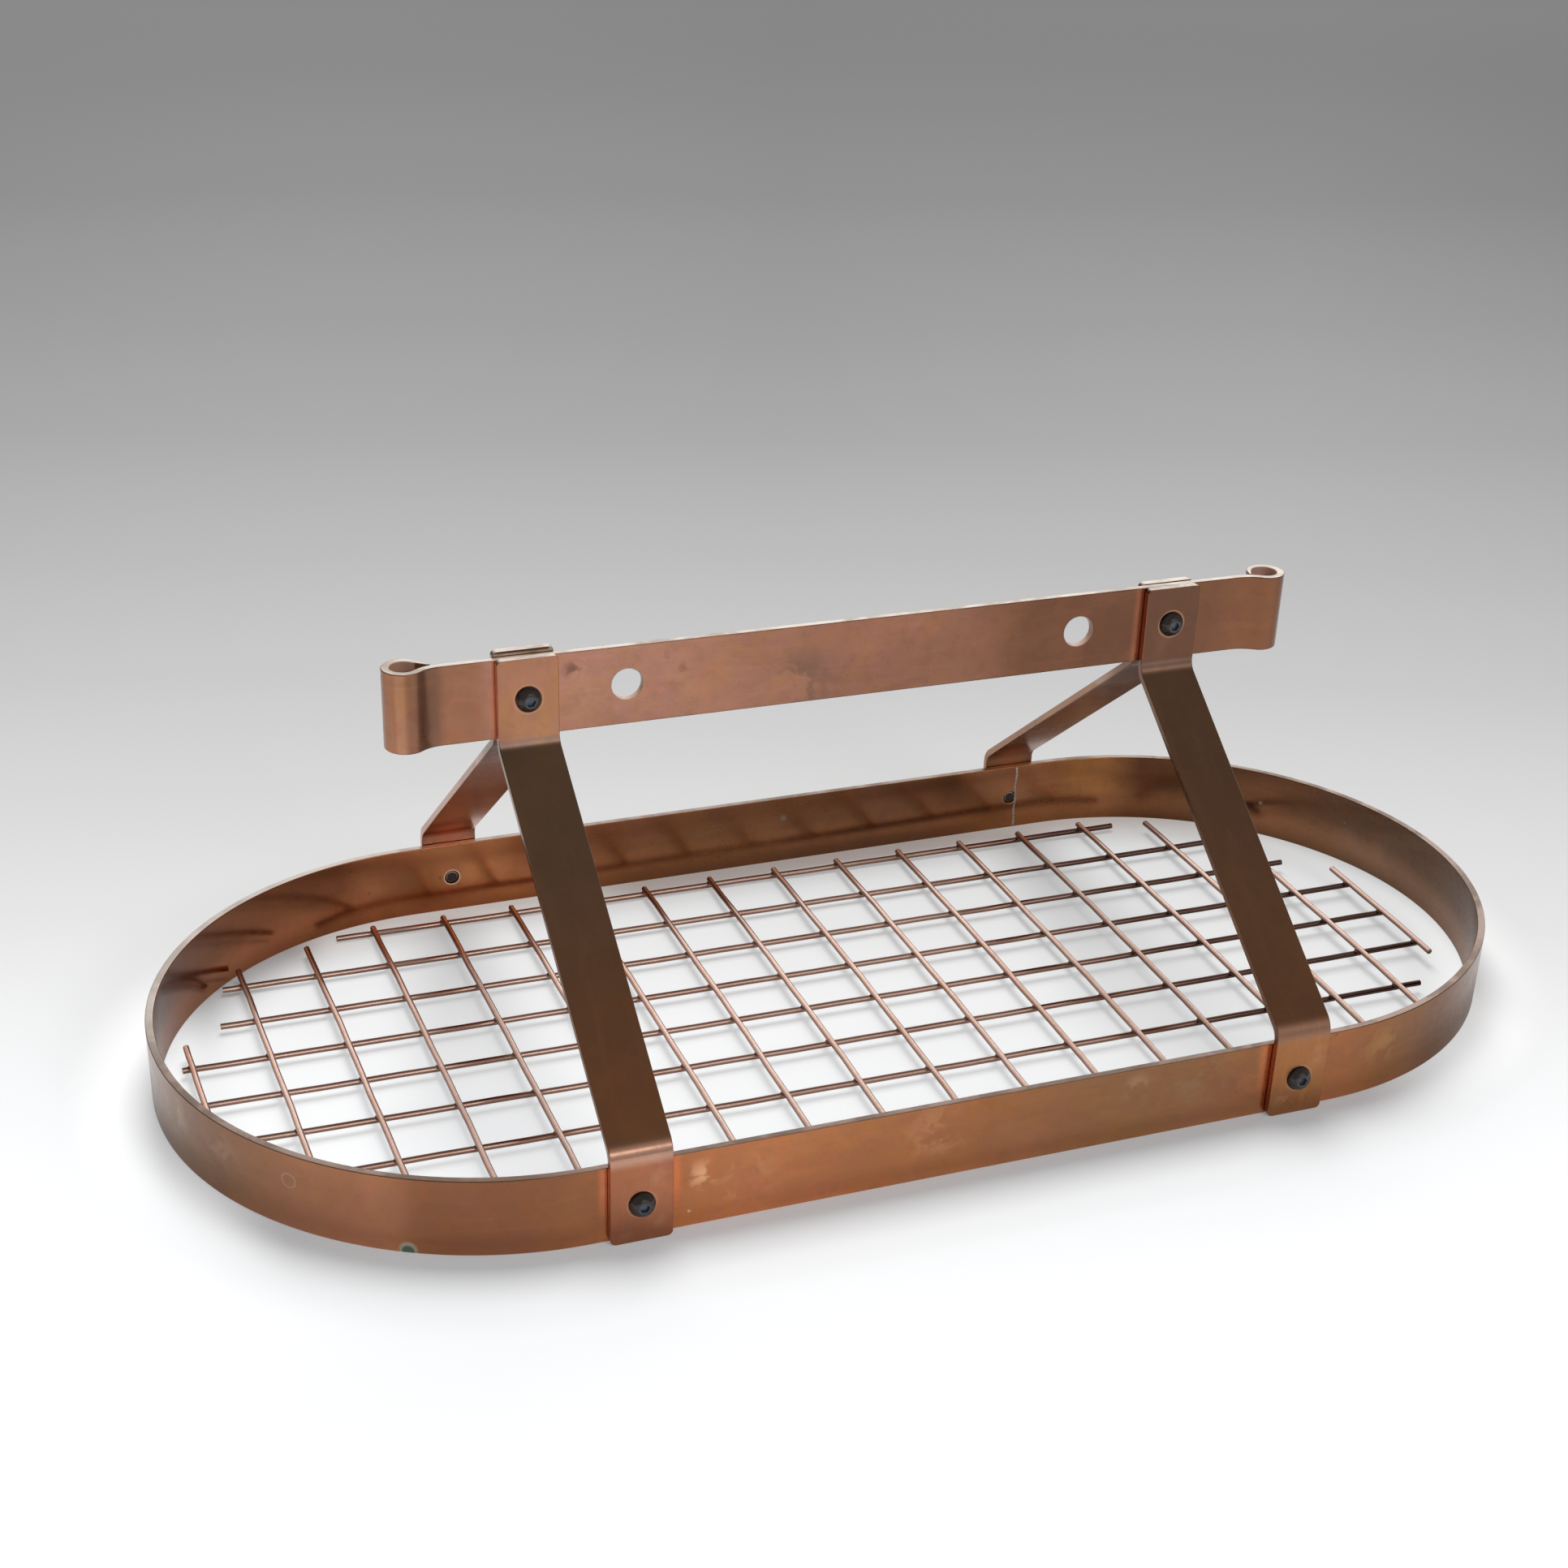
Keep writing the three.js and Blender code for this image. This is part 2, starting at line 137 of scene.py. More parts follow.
class Nodes:
    """The nodes of one finish or of the studio, and the sums and mixes that they make."""

    def __init__(self, tree, output="ShaderNodeOutputMaterial"):
        tree.nodes.clear()
        self.tree = tree
        self.output = self.add(output)

    def add(self, kind, values=None, **settings):
        return add_node(self.tree, kind, values, **settings)

    def show(self, shader):
        self.tree.links.new(shader.outputs[0], self.output.inputs[0])

    def surface(self, values):
        self.show(self.add("ShaderNodeBsdfPrincipled", values))

    def math(self, operation, *amounts):
        """One sum over all its amounts, from the first to the last."""
        total = amounts[0]
        for amount in amounts[1:]:
            total = self.add("ShaderNodeMath", {0: total, 1: amount},
                             operation=operation).outputs[0]
        return total

    def times(self, *amounts):
        return self.math("MULTIPLY", *amounts)

    def plus(self, *amounts):
        return self.math("ADD", *amounts)

    def most(self, *amounts):
        return self.math("MAXIMUM", *amounts)

    def size(self, amount):
        return self.math("ABSOLUTE", amount, 0.0)

    def vector(self, operation, first, second, output="Value"):
        return self.add("ShaderNodeVectorMath", {0: first, 1: second},
                        operation=operation).outputs[output]

    def place(self):
        """The place on a piece, and its x, y and z."""
        place = self.add("ShaderNodeTexCoord").outputs["Object"]
        return (place, *self.add("ShaderNodeSeparateXYZ", {0: place}).outputs)

    def point(self, name):
        """A value that the points of a mesh carry."""
        return self.add("ShaderNodeAttribute", attribute_name=name).outputs["Fac"]

    def stretched(self, where, scale, offset=(0.0, 0.0, 0.0)):
        """Scales coordinates differently along each axis."""
        return self.add("ShaderNodeMapping", {
            "Vector": where, "Location": offset, "Scale": scale,
        }).outputs["Vector"]

    def noise(self, where, scale, detail=3.0, roughness=0.5, distortion=0.0):
        """Cloudy values from 0 to 1."""
        return self.add("ShaderNodeTexNoise", {
            "Vector": where, "Scale": scale, "Detail": detail,
            "Roughness": roughness, "Distortion": distortion,
        }).outputs["Fac"]

    def between(self, value, low, high, to_low=0.0, to_high=1.0):
        """Stretches the part of a value between low and high over a new range."""
        return self.add("ShaderNodeMapRange", {
            0: value, 1: low, 2: high, 3: to_low, 4: to_high,
        }, interpolation_type="SMOOTHSTEP").outputs[0]

    def part_way(self, value, start, full):
        """0 before one place and 1 past the other, both in millimetres."""
        return self.between(value, start * MM, full * MM)

    def span(self, value, start, full, fall, end):
        """1 from full to fall, and 0 before start and past end, all in millimetres."""
        return self.times(self.part_way(value, start, full), self.part_way(value, end, fall))

    def beside(self, x, edge, fade):
        """1 beside an edge, fading out in the direction of fade, in millimetres."""
        return self.span(x, edge - math.copysign(0.8, fade), edge, edge + fade * 0.45,
                         edge + fade)

    def spot(self, place, centre, radius):
        """1 at a place on the bar, fading to 0 at the radius; both in millimetres."""
        return self.between(self.vector("DISTANCE", place, Vector(centre) * MM), radius * MM, 0.0)

    def stain_ring(self, place, centre, radius, width):
        """The thin round rim that a dried drop leaves."""
        reach = self.vector("DISTANCE", place, Vector(centre) * MM)
        off = self.math("SUBTRACT", reach, radius * MM)
        return self.between(self.size(off), width * MM, 0.0)

    def from_oval(self, flat_place, x):
        """How far a place is from the middles of the oval's round ends."""
        nearest = self.add("ShaderNodeClamp", {
            0: x, 1: -RING_HALF_STRAIGHT * MM, 2: RING_HALF_STRAIGHT * MM,
        }).outputs[0]
        axis = self.add("ShaderNodeCombineXYZ", {0: nearest}).outputs[0]
        return self.vector("DISTANCE", flat_place, axis)

    def blend(self, amount, first, second, how="MIX"):
        """Mixes two colours."""
        node = self.add("ShaderNodeMix", data_type="RGBA", blend_type=how)
        for index, value in ((0, amount), (6, first), (7, second)):
            if isinstance(value, bpy.types.NodeSocket):
                self.tree.links.new(value, node.inputs[index])
            else:
                node.inputs[index].default_value = (*value, 1.0) if index else value
        return node.outputs[2]

    def shaded(self, skin, factors):
        return self.blend(1.0, skin, factors, "MULTIPLY")

    def tinted(self, skin, mask, colour, strength=1.0):
        return self.blend(self.times(mask, strength), skin, colour)

    def tones(self, value, stops, unit=MM, easing="EASE"):
        """Colours that follow a value; stops are (value in units, colour)."""
        first, last = stops[0][0], stops[-1][0]
        along = self.add("ShaderNodeMapRange", {0: value, 1: first * unit, 2: last * unit})
        shade = self.add("ShaderNodeValToRGB", {0: along.outputs[0]})
        ramp = shade.color_ramp
        ramp.interpolation = easing
        while len(ramp.elements) < len(stops):
            ramp.elements.new(0.5)
        for element, (where, colour) in zip(ramp.elements, stops):
            element.position = (where - first) / (last - first)
            element.color = (*colour, 1.0)
        return shade.outputs["Color"]

    def levels(self, value, stops):
        """Grey levels that follow a value; stops are (value, level)."""
        return self.tones(value, [(where, (level,) * 3) for where, level in stops], 1.0, "LINEAR")

    def lights(self, *colours):
        """Several lights together."""
        total = colours[0]
        for colour in colours[1:]:
            total = self.blend(1.0, total, colour, "ADD")
        return total

    def relief(self, height, strength, depth, under=None):
        """Fine relief over what relief there is already; depth in metres."""
        values = {"Height": height, "Strength": strength, "Distance": depth}
        if under is not None:
            values["Normal"] = under
        return self.add("ShaderNodeBump", values).outputs[0]


def new_material(name):
    material = bpy.data.materials.new(name)
    material.use_nodes = True
    return material, Nodes(material.node_tree)


# ---------------------------------------------------------------- finishes

DRIED_RIMS = {"ring": 1.0, "rim": 0.8}


def patina(n, skin, place, seed, shine, cloudiness, marks, scaled=None, coat=0.45):
    """Brown copper under a thin clear lacquer: soft clouds, fine rolled grain, pits and marks.

    Marks are (kind, centre, radius, colour, strength). Where scaled is 1 the copper is dull
    with heat scale.
    """
    along = n.add("ShaderNodeUVMap", uv_map="along").outputs["UV"]
    shifted = n.stretched(place, (1, 1, 1), (seed, seed * 0.7, seed * 1.3))

    def cloud(scale, detail, roughness, distortion, low, high):
        return n.between(n.noise(shifted, scale, detail, roughness, distortion), low, high)

    def drawn_out(scale, offset, *kind):
        """Noise that is long along the bar and short across it."""
        return n.noise(n.stretched(along, (*scale, 1.0), offset), 1.0, *kind)

    clouds = cloud(7.0, 3.0, 0.55, 0.4, 0.34, 0.66)
    patches = cloud(23.0, 4.0, 0.6, 0.8, 0.46, 0.70)
    mottle = cloud(120.0, 5.0, 0.65, 0.3, 0.44, 0.70)
    flecks = cloud(88.0, 4.0, 0.62, 1.6, 0.50, 0.66)
    golden = cloud(31.0, 4.0, 0.6, 1.0, 0.46, 0.68)
    broken = cloud(75.0, 3.0, 0.55, 0.6, 0.46, 0.62)
    elsewhere = n.stretched(place, (1, 1, 1), (seed + 9.0, 0, 0))
    mauve = n.between(n.noise(elsewhere, 27.0, 4.0, 0.6, 1.0), 0.48, 0.70)
    smears = n.between(drawn_out((14.0, 85.0), (seed, 3.0, 0), 4.0, 0.6, 0.8), 0.50, 0.70)
    streaks = drawn_out((9.0, 240.0), (seed, 0, 0), 4.0, 0.6)
    grain = drawn_out((60.0, 2600.0), (seed, 0, 0), 3.0, 0.7)
    waves = drawn_out((6.0, 16.0), (0, seed, 0), 2.0, 0.5)

    gold = n.shaded(skin, (1.10, 1.08, 0.74))
    pink = n.shaded(skin, (1.02, 0.96, 1.22))
    skin = n.tinted(skin, golden, gold, 0.6 * cloudiness)
    skin = n.tinted(skin, mauve, pink, 0.6 * cloudiness)
    warmer = n.shaded(skin, (1.22, 1.20, 1.16))
    darker = n.shaded(skin, (0.74, 0.68, 0.64))
    skin = n.tinted(skin, clouds, darker, 0.55 * cloudiness)
    skin = n.tinted(skin, patches, warmer, 0.40 * cloudiness)
    skin = n.tinted(skin, mottle, darker, 0.26 * cloudiness)
    skin = n.tinted(skin, flecks, n.shaded(skin, (1.24, 0.98, 0.90)), 0.42 * cloudiness)
    skin = n.tinted(skin, smears, warmer, 0.40 * cloudiness)
    skin = n.blend(n.between(streaks, 0.5, 0.82, 0.0, 0.20), skin, warmer)
    skin = n.blend(n.between(grain, 0.55, 0.85, 0.0, 0.12), skin, darker)

    cells = n.add("ShaderNodeTexVoronoi", {"Vector": shifted, "Scale": 60.0})
    pits = n.between(cells.outputs["Distance"], 0.09, 0.03)
    chosen = n.between(n.noise(shifted, 18.0, 2.0), 0.60, 0.66)
    skin = n.tinted(skin, n.times(pits, chosen), (0.045, 0.022, 0.014), 0.6)
    dulled = []
    for kind, centre, radius, colour, strength in marks:
        if kind in DRIED_RIMS:
            shape = n.stain_ring(place, centre, radius, DRIED_RIMS[kind])
        else:
            shape = n.spot(place, centre, radius)
        if kind == "disc":
            shape = n.between(shape, 0.0, 0.35)
        elif kind == "smudge":
            shape = n.times(shape, broken)
        skin = n.tinted(skin, shape, colour, strength)
        if kind != "rim":
            dulled.append(n.times(shape, 0.3 * strength))

    gloss = n.plus(n.between(clouds, 0.0, 1.0, *shine), n.times(mottle, 0.05),
                   n.between(grain, 0.4, 0.9, 0.0, 0.05), n.most(*dulled))
    metal = 1.0
    if scaled is not None:
        gloss = n.plus(gloss, n.times(scaled, 0.5))
        metal = n.math("SUBTRACT", 1.0, n.times(scaled, 0.8))
    relief = n.relief(waves, 0.35, 0.0008)
    relief = n.relief(grain, 0.2, 0.00003, relief)
    relief = n.relief(mottle, 0.12, 0.00006, relief)
    n.surface({
        "Base Color": skin, "Metallic": metal, "Roughness": gloss, "Normal": relief,
        "Coat Weight": coat, "Coat Roughness": 0.14, "Coat IOR": 1.5,
    })


# Painted reflection: the red of the straps' lit side faces, mirrored on the ring and top bar
# beside them
PAINTED_STRAP_REFLECTION = (0.66, 0.20, 0.075)
SCREW_STAIN = (0.46, 0.25, 0.145)
# The bends' pale colour: partly rubbing, partly a painted highlight
BEND_RUB_AND_HIGHLIGHT = (0.62, 0.39, 0.31)
# Tones of the ring along x, outside and inside: red-brown in front, deep orange inside
# They are partly the copper's own tone and partly painted reflection
RING_OUTSIDE = (
    (-450, (0.280, 0.138, 0.066)), (-386, (0.425, 0.184, 0.092)), (-358, (0.470, 0.200, 0.098)),
    (-335, (0.340, 0.137, 0.066)), (-290, (0.345, 0.138, 0.064)), (-170, (0.640, 0.245, 0.102)),
    (-40, (0.500, 0.200, 0.084)), (100, (0.375, 0.176, 0.079)), (185, (0.420, 0.185, 0.084)),
    (250, (0.490, 0.192, 0.078)), (300, (0.360, 0.152, 0.055)), (345, (0.240, 0.094, 0.028)),
)
RING_WITHIN = (
    (-440, (0.380, 0.150, 0.072)), (-350, (0.500, 0.180, 0.076)), (-235, (0.730, 0.245, 0.090)),
    (0, (0.500, 0.215, 0.096)), (120, (0.420, 0.176, 0.080)), (230, (0.560, 0.205, 0.076)),
    (340, (0.380, 0.156, 0.068)), (400, (0.440, 0.190, 0.088)), (455, (0.375, 0.210, 0.125)),
)
# Painted reflections, brighter stretches inside the back wall: along x, up z, colour and strength
RING_PAINTED_REFLECTIONS = (
    ((-300, -270, -195, -160), (12, 24), (0.680, 0.265, 0.110), 0.85),
    ((165, 195, 240, 262), (12, 24), (0.500, 0.215, 0.100), 0.85),
    ((225, 285, 290, 325), (12, 24), (0.620, 0.270, 0.095), 0.85),
    ((170, 210, 285, 320), (20, 10), (0.80, 0.34, 0.140), 0.5),
)
RING_MARKS = (
    ("disc", (-346.1, -187.0, 2.1), 7.2, (0.50, 0.52, 0.40), 0.75),
    ("disc", (-346.1, -187.0, 1.2), 5.0, (0.12, 0.17, 0.12), 0.95),
    ("ring", (-403.1, -141.7, 33.0), 4.6, (0.42, 0.27, 0.20), 0.5),
    ("smudge", (-395.0, -148.5, 40.0), 8.0, (0.42, 0.27, 0.20), 0.5),
    ("smudge", (-451.5, -48.0, 33.0), 24.0, (0.48, 0.36, 0.28), 0.55),
    ("smudge", (-430.0, -97.0, 30.0), 22.0, (0.42, 0.24, 0.16), 0.4),
    ("smudge", (-178.0, -213.0, 34.0), 14.0, (0.95, 0.52, 0.28), 0.7),
    ("smudge", (-150.0, -213.0, 22.0), 26.0, (0.85, 0.42, 0.20), 0.4),
    ("smudge", (-30.0, -213.0, 30.0), 30.0, (0.72, 0.36, 0.19), 0.35),
    ("smudge", (150.0, -213.0, 30.0), 34.0, (0.30, 0.19, 0.10), 0.5),
    ("smudge", (186.0, -213.0, 24.0), 16.0, (0.52, 0.18, 0.09), 0.5),
    ("smudge", (285.0, -209.0, 30.0), 24.0, (0.50, 0.25, 0.09), 0.5),
    ("spot", (-186.0, -213.0, 10.4), 1.6, (0.85, 0.66, 0.52), 0.9),
    ("smudge", (104.0, -213.0, 38.0), 14.0, (0.50, 0.33, 0.22), 0.4),
    ("spot", (33.2, 208.0, 35.0), 3.6, (0.36, 0.34, 0.25), 0.75),
    ("rim", (STRAP_LEFT_X, 208.0, RING_SCREW_Z), 5.6, (1.0, 0.80, 0.60), 1.0),
    ("rim", (STRAP_RIGHT_X, 208.0, RING_SCREW_Z), 5.5, (0.60, 0.32, 0.18), 0.8),
    ("spot", (-300.0, -204.0, 33.0), 2.2, (0.10, 0.06, 0.045), 0.6),
    ("spot", (398.0, 140.0, 26.0), 2.4, (0.62, 0.55, 0.36), 0.7),
    ("spot", (437.0, 82.0, 31.0), 2.6, (0.66, 0.56, 0.42), 0.7),
)


def ring_finish():
    """The oval ring with the stains it has gathered, and painted reflections: red beside the
    straps, brighter inside the back wall.
    """
    material, n = new_material("aged_ring_copper")
    place, x, y, z = n.place()
    reach = n.from_oval(n.stretched(place, (1, 1, 0)), x)
    inside = n.part_way(reach, RING_MIDDLE + 0.6, RING_MIDDLE - 0.6)
    # Painted light: both walls lighter towards the foot, darker higher up, to offset the mirrored
    # floor shadow
    skin = n.shaded(n.tones(x, RING_OUTSIDE), n.between(z, 0.034, -0.004, 0.71, 1.21))
    inner = n.shaded(n.tones(x, RING_WITHIN), n.between(z, 0.030, 0.012, 0.58, 1.0))
    # Painted reflections: brighter stretches inside the back wall
    for along, up, colour, strength in RING_PAINTED_REFLECTIONS:
        painted_reflection = n.times(n.span(x, *along), n.part_way(z, *up))
        inner = n.tinted(inner, painted_reflection, colour, strength)
    skin = n.blend(inside, skin, inner)
    # Painted reflections of the straps' sides, red on the ring beside them
    for edge, fade, strength in (
        (STRAP_LEFT_X + STRAP_WIDTH / 2, 8.0, 0.85),
        (STRAP_RIGHT_X - STRAP_WIDTH / 2, -11.0, 0.5),
        (STRAP_LEFT_X - STRAP_WIDTH / 2, -7.0, 0.5),
    ):
        strip = n.times(n.beside(x, edge, fade), n.part_way(y, 0, -100), n.part_way(z, 4, 26))
        skin = n.tinted(skin, strip, PAINTED_STRAP_REFLECTION, strength)
    patina(n, skin, place, 0.0, (0.16, 0.25), 0.8, RING_MARKS, coat=0.22)
    return material


def strap_marks():
    """Stains round the screws, painted red reflections where the back straps meet the ring, and
    smudges.
    """
    front_face, bar_face = -218.6, -1.8
    marks = [("rim", (x, front_face, RING_SCREW_Z), 9.0, SCREW_STAIN, 0.55) for x in STRAP_XS]
    marks += [("rim", (x, bar_face, bar_hole_z(x)), 9.2, SCREW_STAIN, 0.55) for x in STRAP_XS]
    # Painted reflection: red on the back straps' inner faces just above the ring
    marks += [("spot", (STRAP_LEFT_X, 205.0, 66.0), 26.0, (1.0, 0.32, 0.13), 1.0),
              ("spot", (STRAP_RIGHT_X, 205.0, 66.0), 24.0, (0.9, 0.30, 0.12), 0.8)]
    groups = [
        (STRAP_LEFT_X, bar_face, (0.46, 0.215, 0.085), 0.6,
         ((-11, 234, 11), (12, 262, 12), (8, 230, 9), (-9, 262, 9))),
        *((x, front_face, (0.50, 0.24, 0.13), 0.5, ((-10, 10, 10), (11, 40, 11), (9, 12, 8)))
          for x in STRAP_XS),
        (STRAP_RIGHT_X, bar_face, (0.19, 0.085, 0.045), 0.6, ((-10, 236, 11), (11, 262, 10))),
    ]
    for x, y, colour, strength, smudges in groups:
        marks += [("smudge", (x + across, y, z), radius, colour, strength)
                  for across, z, radius in smudges]
    return marks


def strap_finish():
    """The straps: pink-brown tabs, smooth olive-brown legs, bends pale from rubbing and from a
    painted highlight.
    """
    material, n = new_material("aged_strap_copper")
    place, x, y, z = n.place()
    right = n.part_way(x, -100, 100)
    back = n.part_way(y, 20, 60)
    leg = n.blend(n.part_way(z, 200, 70), (0.186, 0.100, 0.054), (0.300, 0.122, 0.050))
    leg = n.tinted(leg, right, (0.205, 0.094, 0.044), 0.5)
    leg = n.blend(back, leg, n.blend(right, (0.480, 0.200, 0.098), (0.400, 0.205, 0.112)))
    low_tab = n.blend(right, (0.370, 0.134, 0.062), (0.372, 0.150, 0.049))
    high_tab = n.blend(right, (0.368, 0.169, 0.089), (0.125, 0.053, 0.027))
    skin = n.blend(n.part_way(z, 58, 52), leg, low_tab)
    # The front right strap is bent lower than the others
    lower = STRAPS["front_left"][2] - STRAPS["front_right"][2]
    bend_z = n.plus(z, n.times(right, n.part_way(y, 0, -4), lower * MM))
    skin = n.blend(n.part_way(bend_z, 219, 221.5), skin, high_tab)
    # How pale the bends are painted, from rubbing and as a highlight: more on the left
    wear_and_highlight = n.between(right, 0.0, 1.0, 0.5, 0.15)
    lower_bend = n.span(z, 50, 56, 60, 67)
    upper_bend = n.span(bend_z, 218.5, 220.5, 222, 224.5)
    skin = n.tinted(skin, lower_bend, BEND_RUB_AND_HIGHLIGHT, wear_and_highlight)
    skin = n.tinted(skin, upper_bend, BEND_RUB_AND_HIGHLIGHT, wear_and_highlight)
    # Painted reflection: the back straps turn paler and mauve from about 187 mm up
    skin = n.tinted(skin, n.times(back, n.part_way(z, 180, 187)), (0.56, 0.37, 0.29), 0.75)
    # Painted reflection: the left side faces of the tabs take the red of the copper beside them
    left_sides = n.plus(*(n.span(x, edge - 1.0, edge, edge + 0.2, edge + 0.7)
                          for edge in (middle - STRAP_WIDTH / 2 for middle in STRAP_XS)))
    tabs = n.plus(n.part_way(z, 52, 46), n.part_way(z, 222, 226))
    skin = n.tinted(skin, n.times(left_sides, tabs), (0.40, 0.13, 0.060), 0.7)
    back_tops = n.times(n.part_way(y, 6, 8), n.part_way(z, 271.0, 272.2))
    skin = n.tinted(skin, back_tops, (0.42, 0.36, 0.27), 0.9)
    scaled = n.times(n.most(upper_bend, n.times(lower_bend, right)),
                     n.between(right, 0.0, 1.0, 0.6, 0.35))
    patina(n, skin, place, 3.1, (0.17, 0.24), 0.8, strap_marks(), scaled)
    return material


# The top bar's tones from left to right: where each starts, where it is full, and its colour
# They are partly the copper's own tone and partly painted reflection
BAR_TONES = (
    (-200, 20, (0.280, 0.125, 0.076)), (30, 135, (0.168, 0.067, 0.031)),
    (246, 272, (0.205, 0.082, 0.035)),
)
BAR_MARKS = (
    ("smudge", (-40.0, 3.5, 236.0), 30.0, (0.130, 0.090, 0.075), 0.5),
    ("smudge", (-187.0, 3.5, 262.0), 9.0, (0.150, 0.060, 0.040), 0.6),
    ("spot", (-262.0, 2.0, 236.0), 1.5, (0.10, 0.05, 0.03), 0.6),
    ("smudge", (-120.0, 3.5, 256.0), 24.0, (0.30, 0.115, 0.060), 0.5),
    ("smudge", (-172.0, 3.5, 232.0), 16.0, (0.52, 0.26, 0.15), 0.5),
    ("smudge", (40.0, 3.5, 258.0), 28.0, (0.34, 0.145, 0.075), 0.45),
    ("smudge", (110.0, 3.5, 238.0), 22.0, (0.25, 0.090, 0.042), 0.5),
)


def top_bar_finish():
    """The top bar, paler at its left end and redder to the right."""
    material, n = new_material("aged_top_bar_copper")
    place, x, y, _ = n.place()
    skin = n.blend(n.part_way(x, -250, -232), (0.335, 0.148, 0.078), (0.425, 0.205, 0.132))
    for start, full, colour in BAR_TONES:
        skin = n.tinted(skin, n.part_way(x, start, full), colour)
    # Painted reflections of the straps' sides, red on the top bar beside them
    for edge, fade, strength in (
        (STRAP_LEFT_X - STRAP_WIDTH / 2, -3.0, 0.45),
        (STRAP_RIGHT_X - STRAP_WIDTH / 2, -8.0, 0.28),
        (STRAP_LEFT_X + STRAP_WIDTH / 2, 2.5, 0.35),
    ):
        strip = n.times(n.beside(x, edge, fade), n.part_way(y, 8, 5))
        skin = n.tinted(skin, strip, PAINTED_STRAP_REFLECTION, strength)
    # The left eye: a painted dark reflection where it swings off the bar, and a painted highlight
    # line down its front
    skin = n.tinted(skin, n.span(x, -292, -288, -284, -279), (0.215, 0.098, 0.056), 0.6)
    skin = n.tinted(skin, n.span(x, -284, -279, -272, -264), (0.165, 0.082, 0.050), 0.7)
    roll = n.times(n.span(x, -298, -295.5, -293, -290), n.part_way(y, 5, 2))
    skin = n.tinted(skin, roll, (0.52, 0.27, 0.16), 0.5)
    flat, upright = n.stretched(place, (1, 1, 0)), n.stretched(place, (1, 0, 1))
    bores = [(flat, (eye_x, TOP_BAR_Y + EYE_Y, 0.0), 9.4, 8.7)
             for eye_x in (-LEFT_EYE[0], RIGHT_EYE[0])]
    bores += [(upright, (hole_x, 0.0, bar_hole_z(hole_x)), 10.6, 10.4)
              for hole_x in (-HANGING_HOLE_X, HANGING_HOLE_X)]
    bores = n.most(*(n.part_way(n.vector("DISTANCE", where, Vector(centre) * MM), outer, inner)
                     for where, centre, outer, inner in bores))
    skin = n.tinted(skin, bores, (0.66, 0.46, 0.37), 0.9)
    patina(n, skin, place, 7.7, (0.20, 0.30), 0.9, BAR_MARKS, bores)
    return material


def pale_edge_with_highlight(name, bright, dull, back_left=None):
    """The upper edges of the bars: sheared, pale from rubbing and paler still as a painted
    highlight; back_left is a paler stretch's tone.
    """
    material, n = new_material(name)
    place, x, y, _ = n.place()
    clouds = n.between(n.noise(place, 30.0, 5.0, 0.65, 0.5), 0.38, 0.64)
    nicks = n.between(n.noise(place, 240.0, 4.0, 0.6), 0.58, 0.78)
    skin = n.blend(clouds, bright, dull)
    if back_left is not None:
        # A stretch painted paler still
        wear_and_highlight = n.times(n.part_way(x, -60, -320), n.part_way(y, -60, 60))
        skin = n.tinted(skin, wear_and_highlight, back_left, 0.9)
    skin = n.tinted(skin, nicks, (0.30, 0.19, 0.14), 0.3)
    n.surface({
        "Base Color": skin, "Metallic": 1.0, "Roughness": n.between(clouds, 0.0, 1.0, 0.34, 0.48),
        "Normal": n.relief(nicks, 0.3, 0.00008),
    })
    return material


def bright_wire_copper(name):
    """Drawn copper wire: brown and glossy, with a painted pale pink highlight where the points'
    highlight value is 1.
    """
    material, n = new_material(name)
    place, x, _, _ = n.place()
    clouds = n.between(n.noise(place, 14.0, 4.0, 0.6, 0.5), 0.4, 0.68)
    fine = n.between(n.noise(place, 300.0, 3.0, 0.6), 0.45, 0.75)
    rubbed = n.point("rubbed")
    pale = n.blend(clouds, (1.0, 0.69, 0.56), (0.90, 0.55, 0.42))
    brown = n.blend(clouds, (0.25, 0.112, 0.074), (0.17, 0.072, 0.046))
    brown = n.tinted(brown, n.part_way(x, 130, 260), (0.085, 0.036, 0.026), 0.9)
    skin = n.tinted(n.blend(rubbed, brown, pale), fine, (0.30, 0.14, 0.09), 0.2)
    n.surface({
        "Base Color": skin, "Metallic": n.between(rubbed, 0.0, 1.0, 1.0, 0.35),
        "Roughness": n.between(clouds, 0.0, 1.0, 0.08, 0.16),
        "Coat Weight": 0.3, "Coat Roughness": 0.08, "Coat IOR": 1.5,
    })
    return material


def weld_brown(name):
    """Burnt copper round the welded crossings."""
    material, n = new_material(name)
    scale = n.between(n.noise(n.place()[0], 260.0, 4.0, 0.6), 0.35, 0.7)
    n.surface({
        "Base Color": n.blend(scale, (0.40, 0.19, 0.12), (0.15, 0.07, 0.045)),
        "Metallic": 1.0, "Roughness": 0.42, "Normal": n.relief(scale, 0.5, 0.0002),
    })
    return material


def black_screw_steel(name):
    """Oiled black oxide on steel, with a painted bluish highlight in the socket and copper round
    the tip from rubbing.
    """
    material, n = new_material(name)
    grime = n.between(n.noise(n.place()[0], 420.0, 4.0, 0.6), 0.4, 0.7)
    skin = n.blend(grime, (0.048, 0.036, 0.030), (0.030, 0.025, 0.024))
    # Painted highlight: a bluish tint in the socket
    skin = n.tinted(skin, n.point("socket"), (0.105, 0.125, 0.165), 0.8)
    skin = n.tinted(skin, n.point("tip"), (0.80, 0.52, 0.34), 0.9)
    n.surface({
        "Base Color": skin, "Metallic": 0.35, "Roughness": n.between(grime, 0.0, 1.0, 0.20, 0.28),
        "Normal": n.relief(grime, 0.10, 0.00003), "Specular IOR Level": 0.55,
    })
    return material


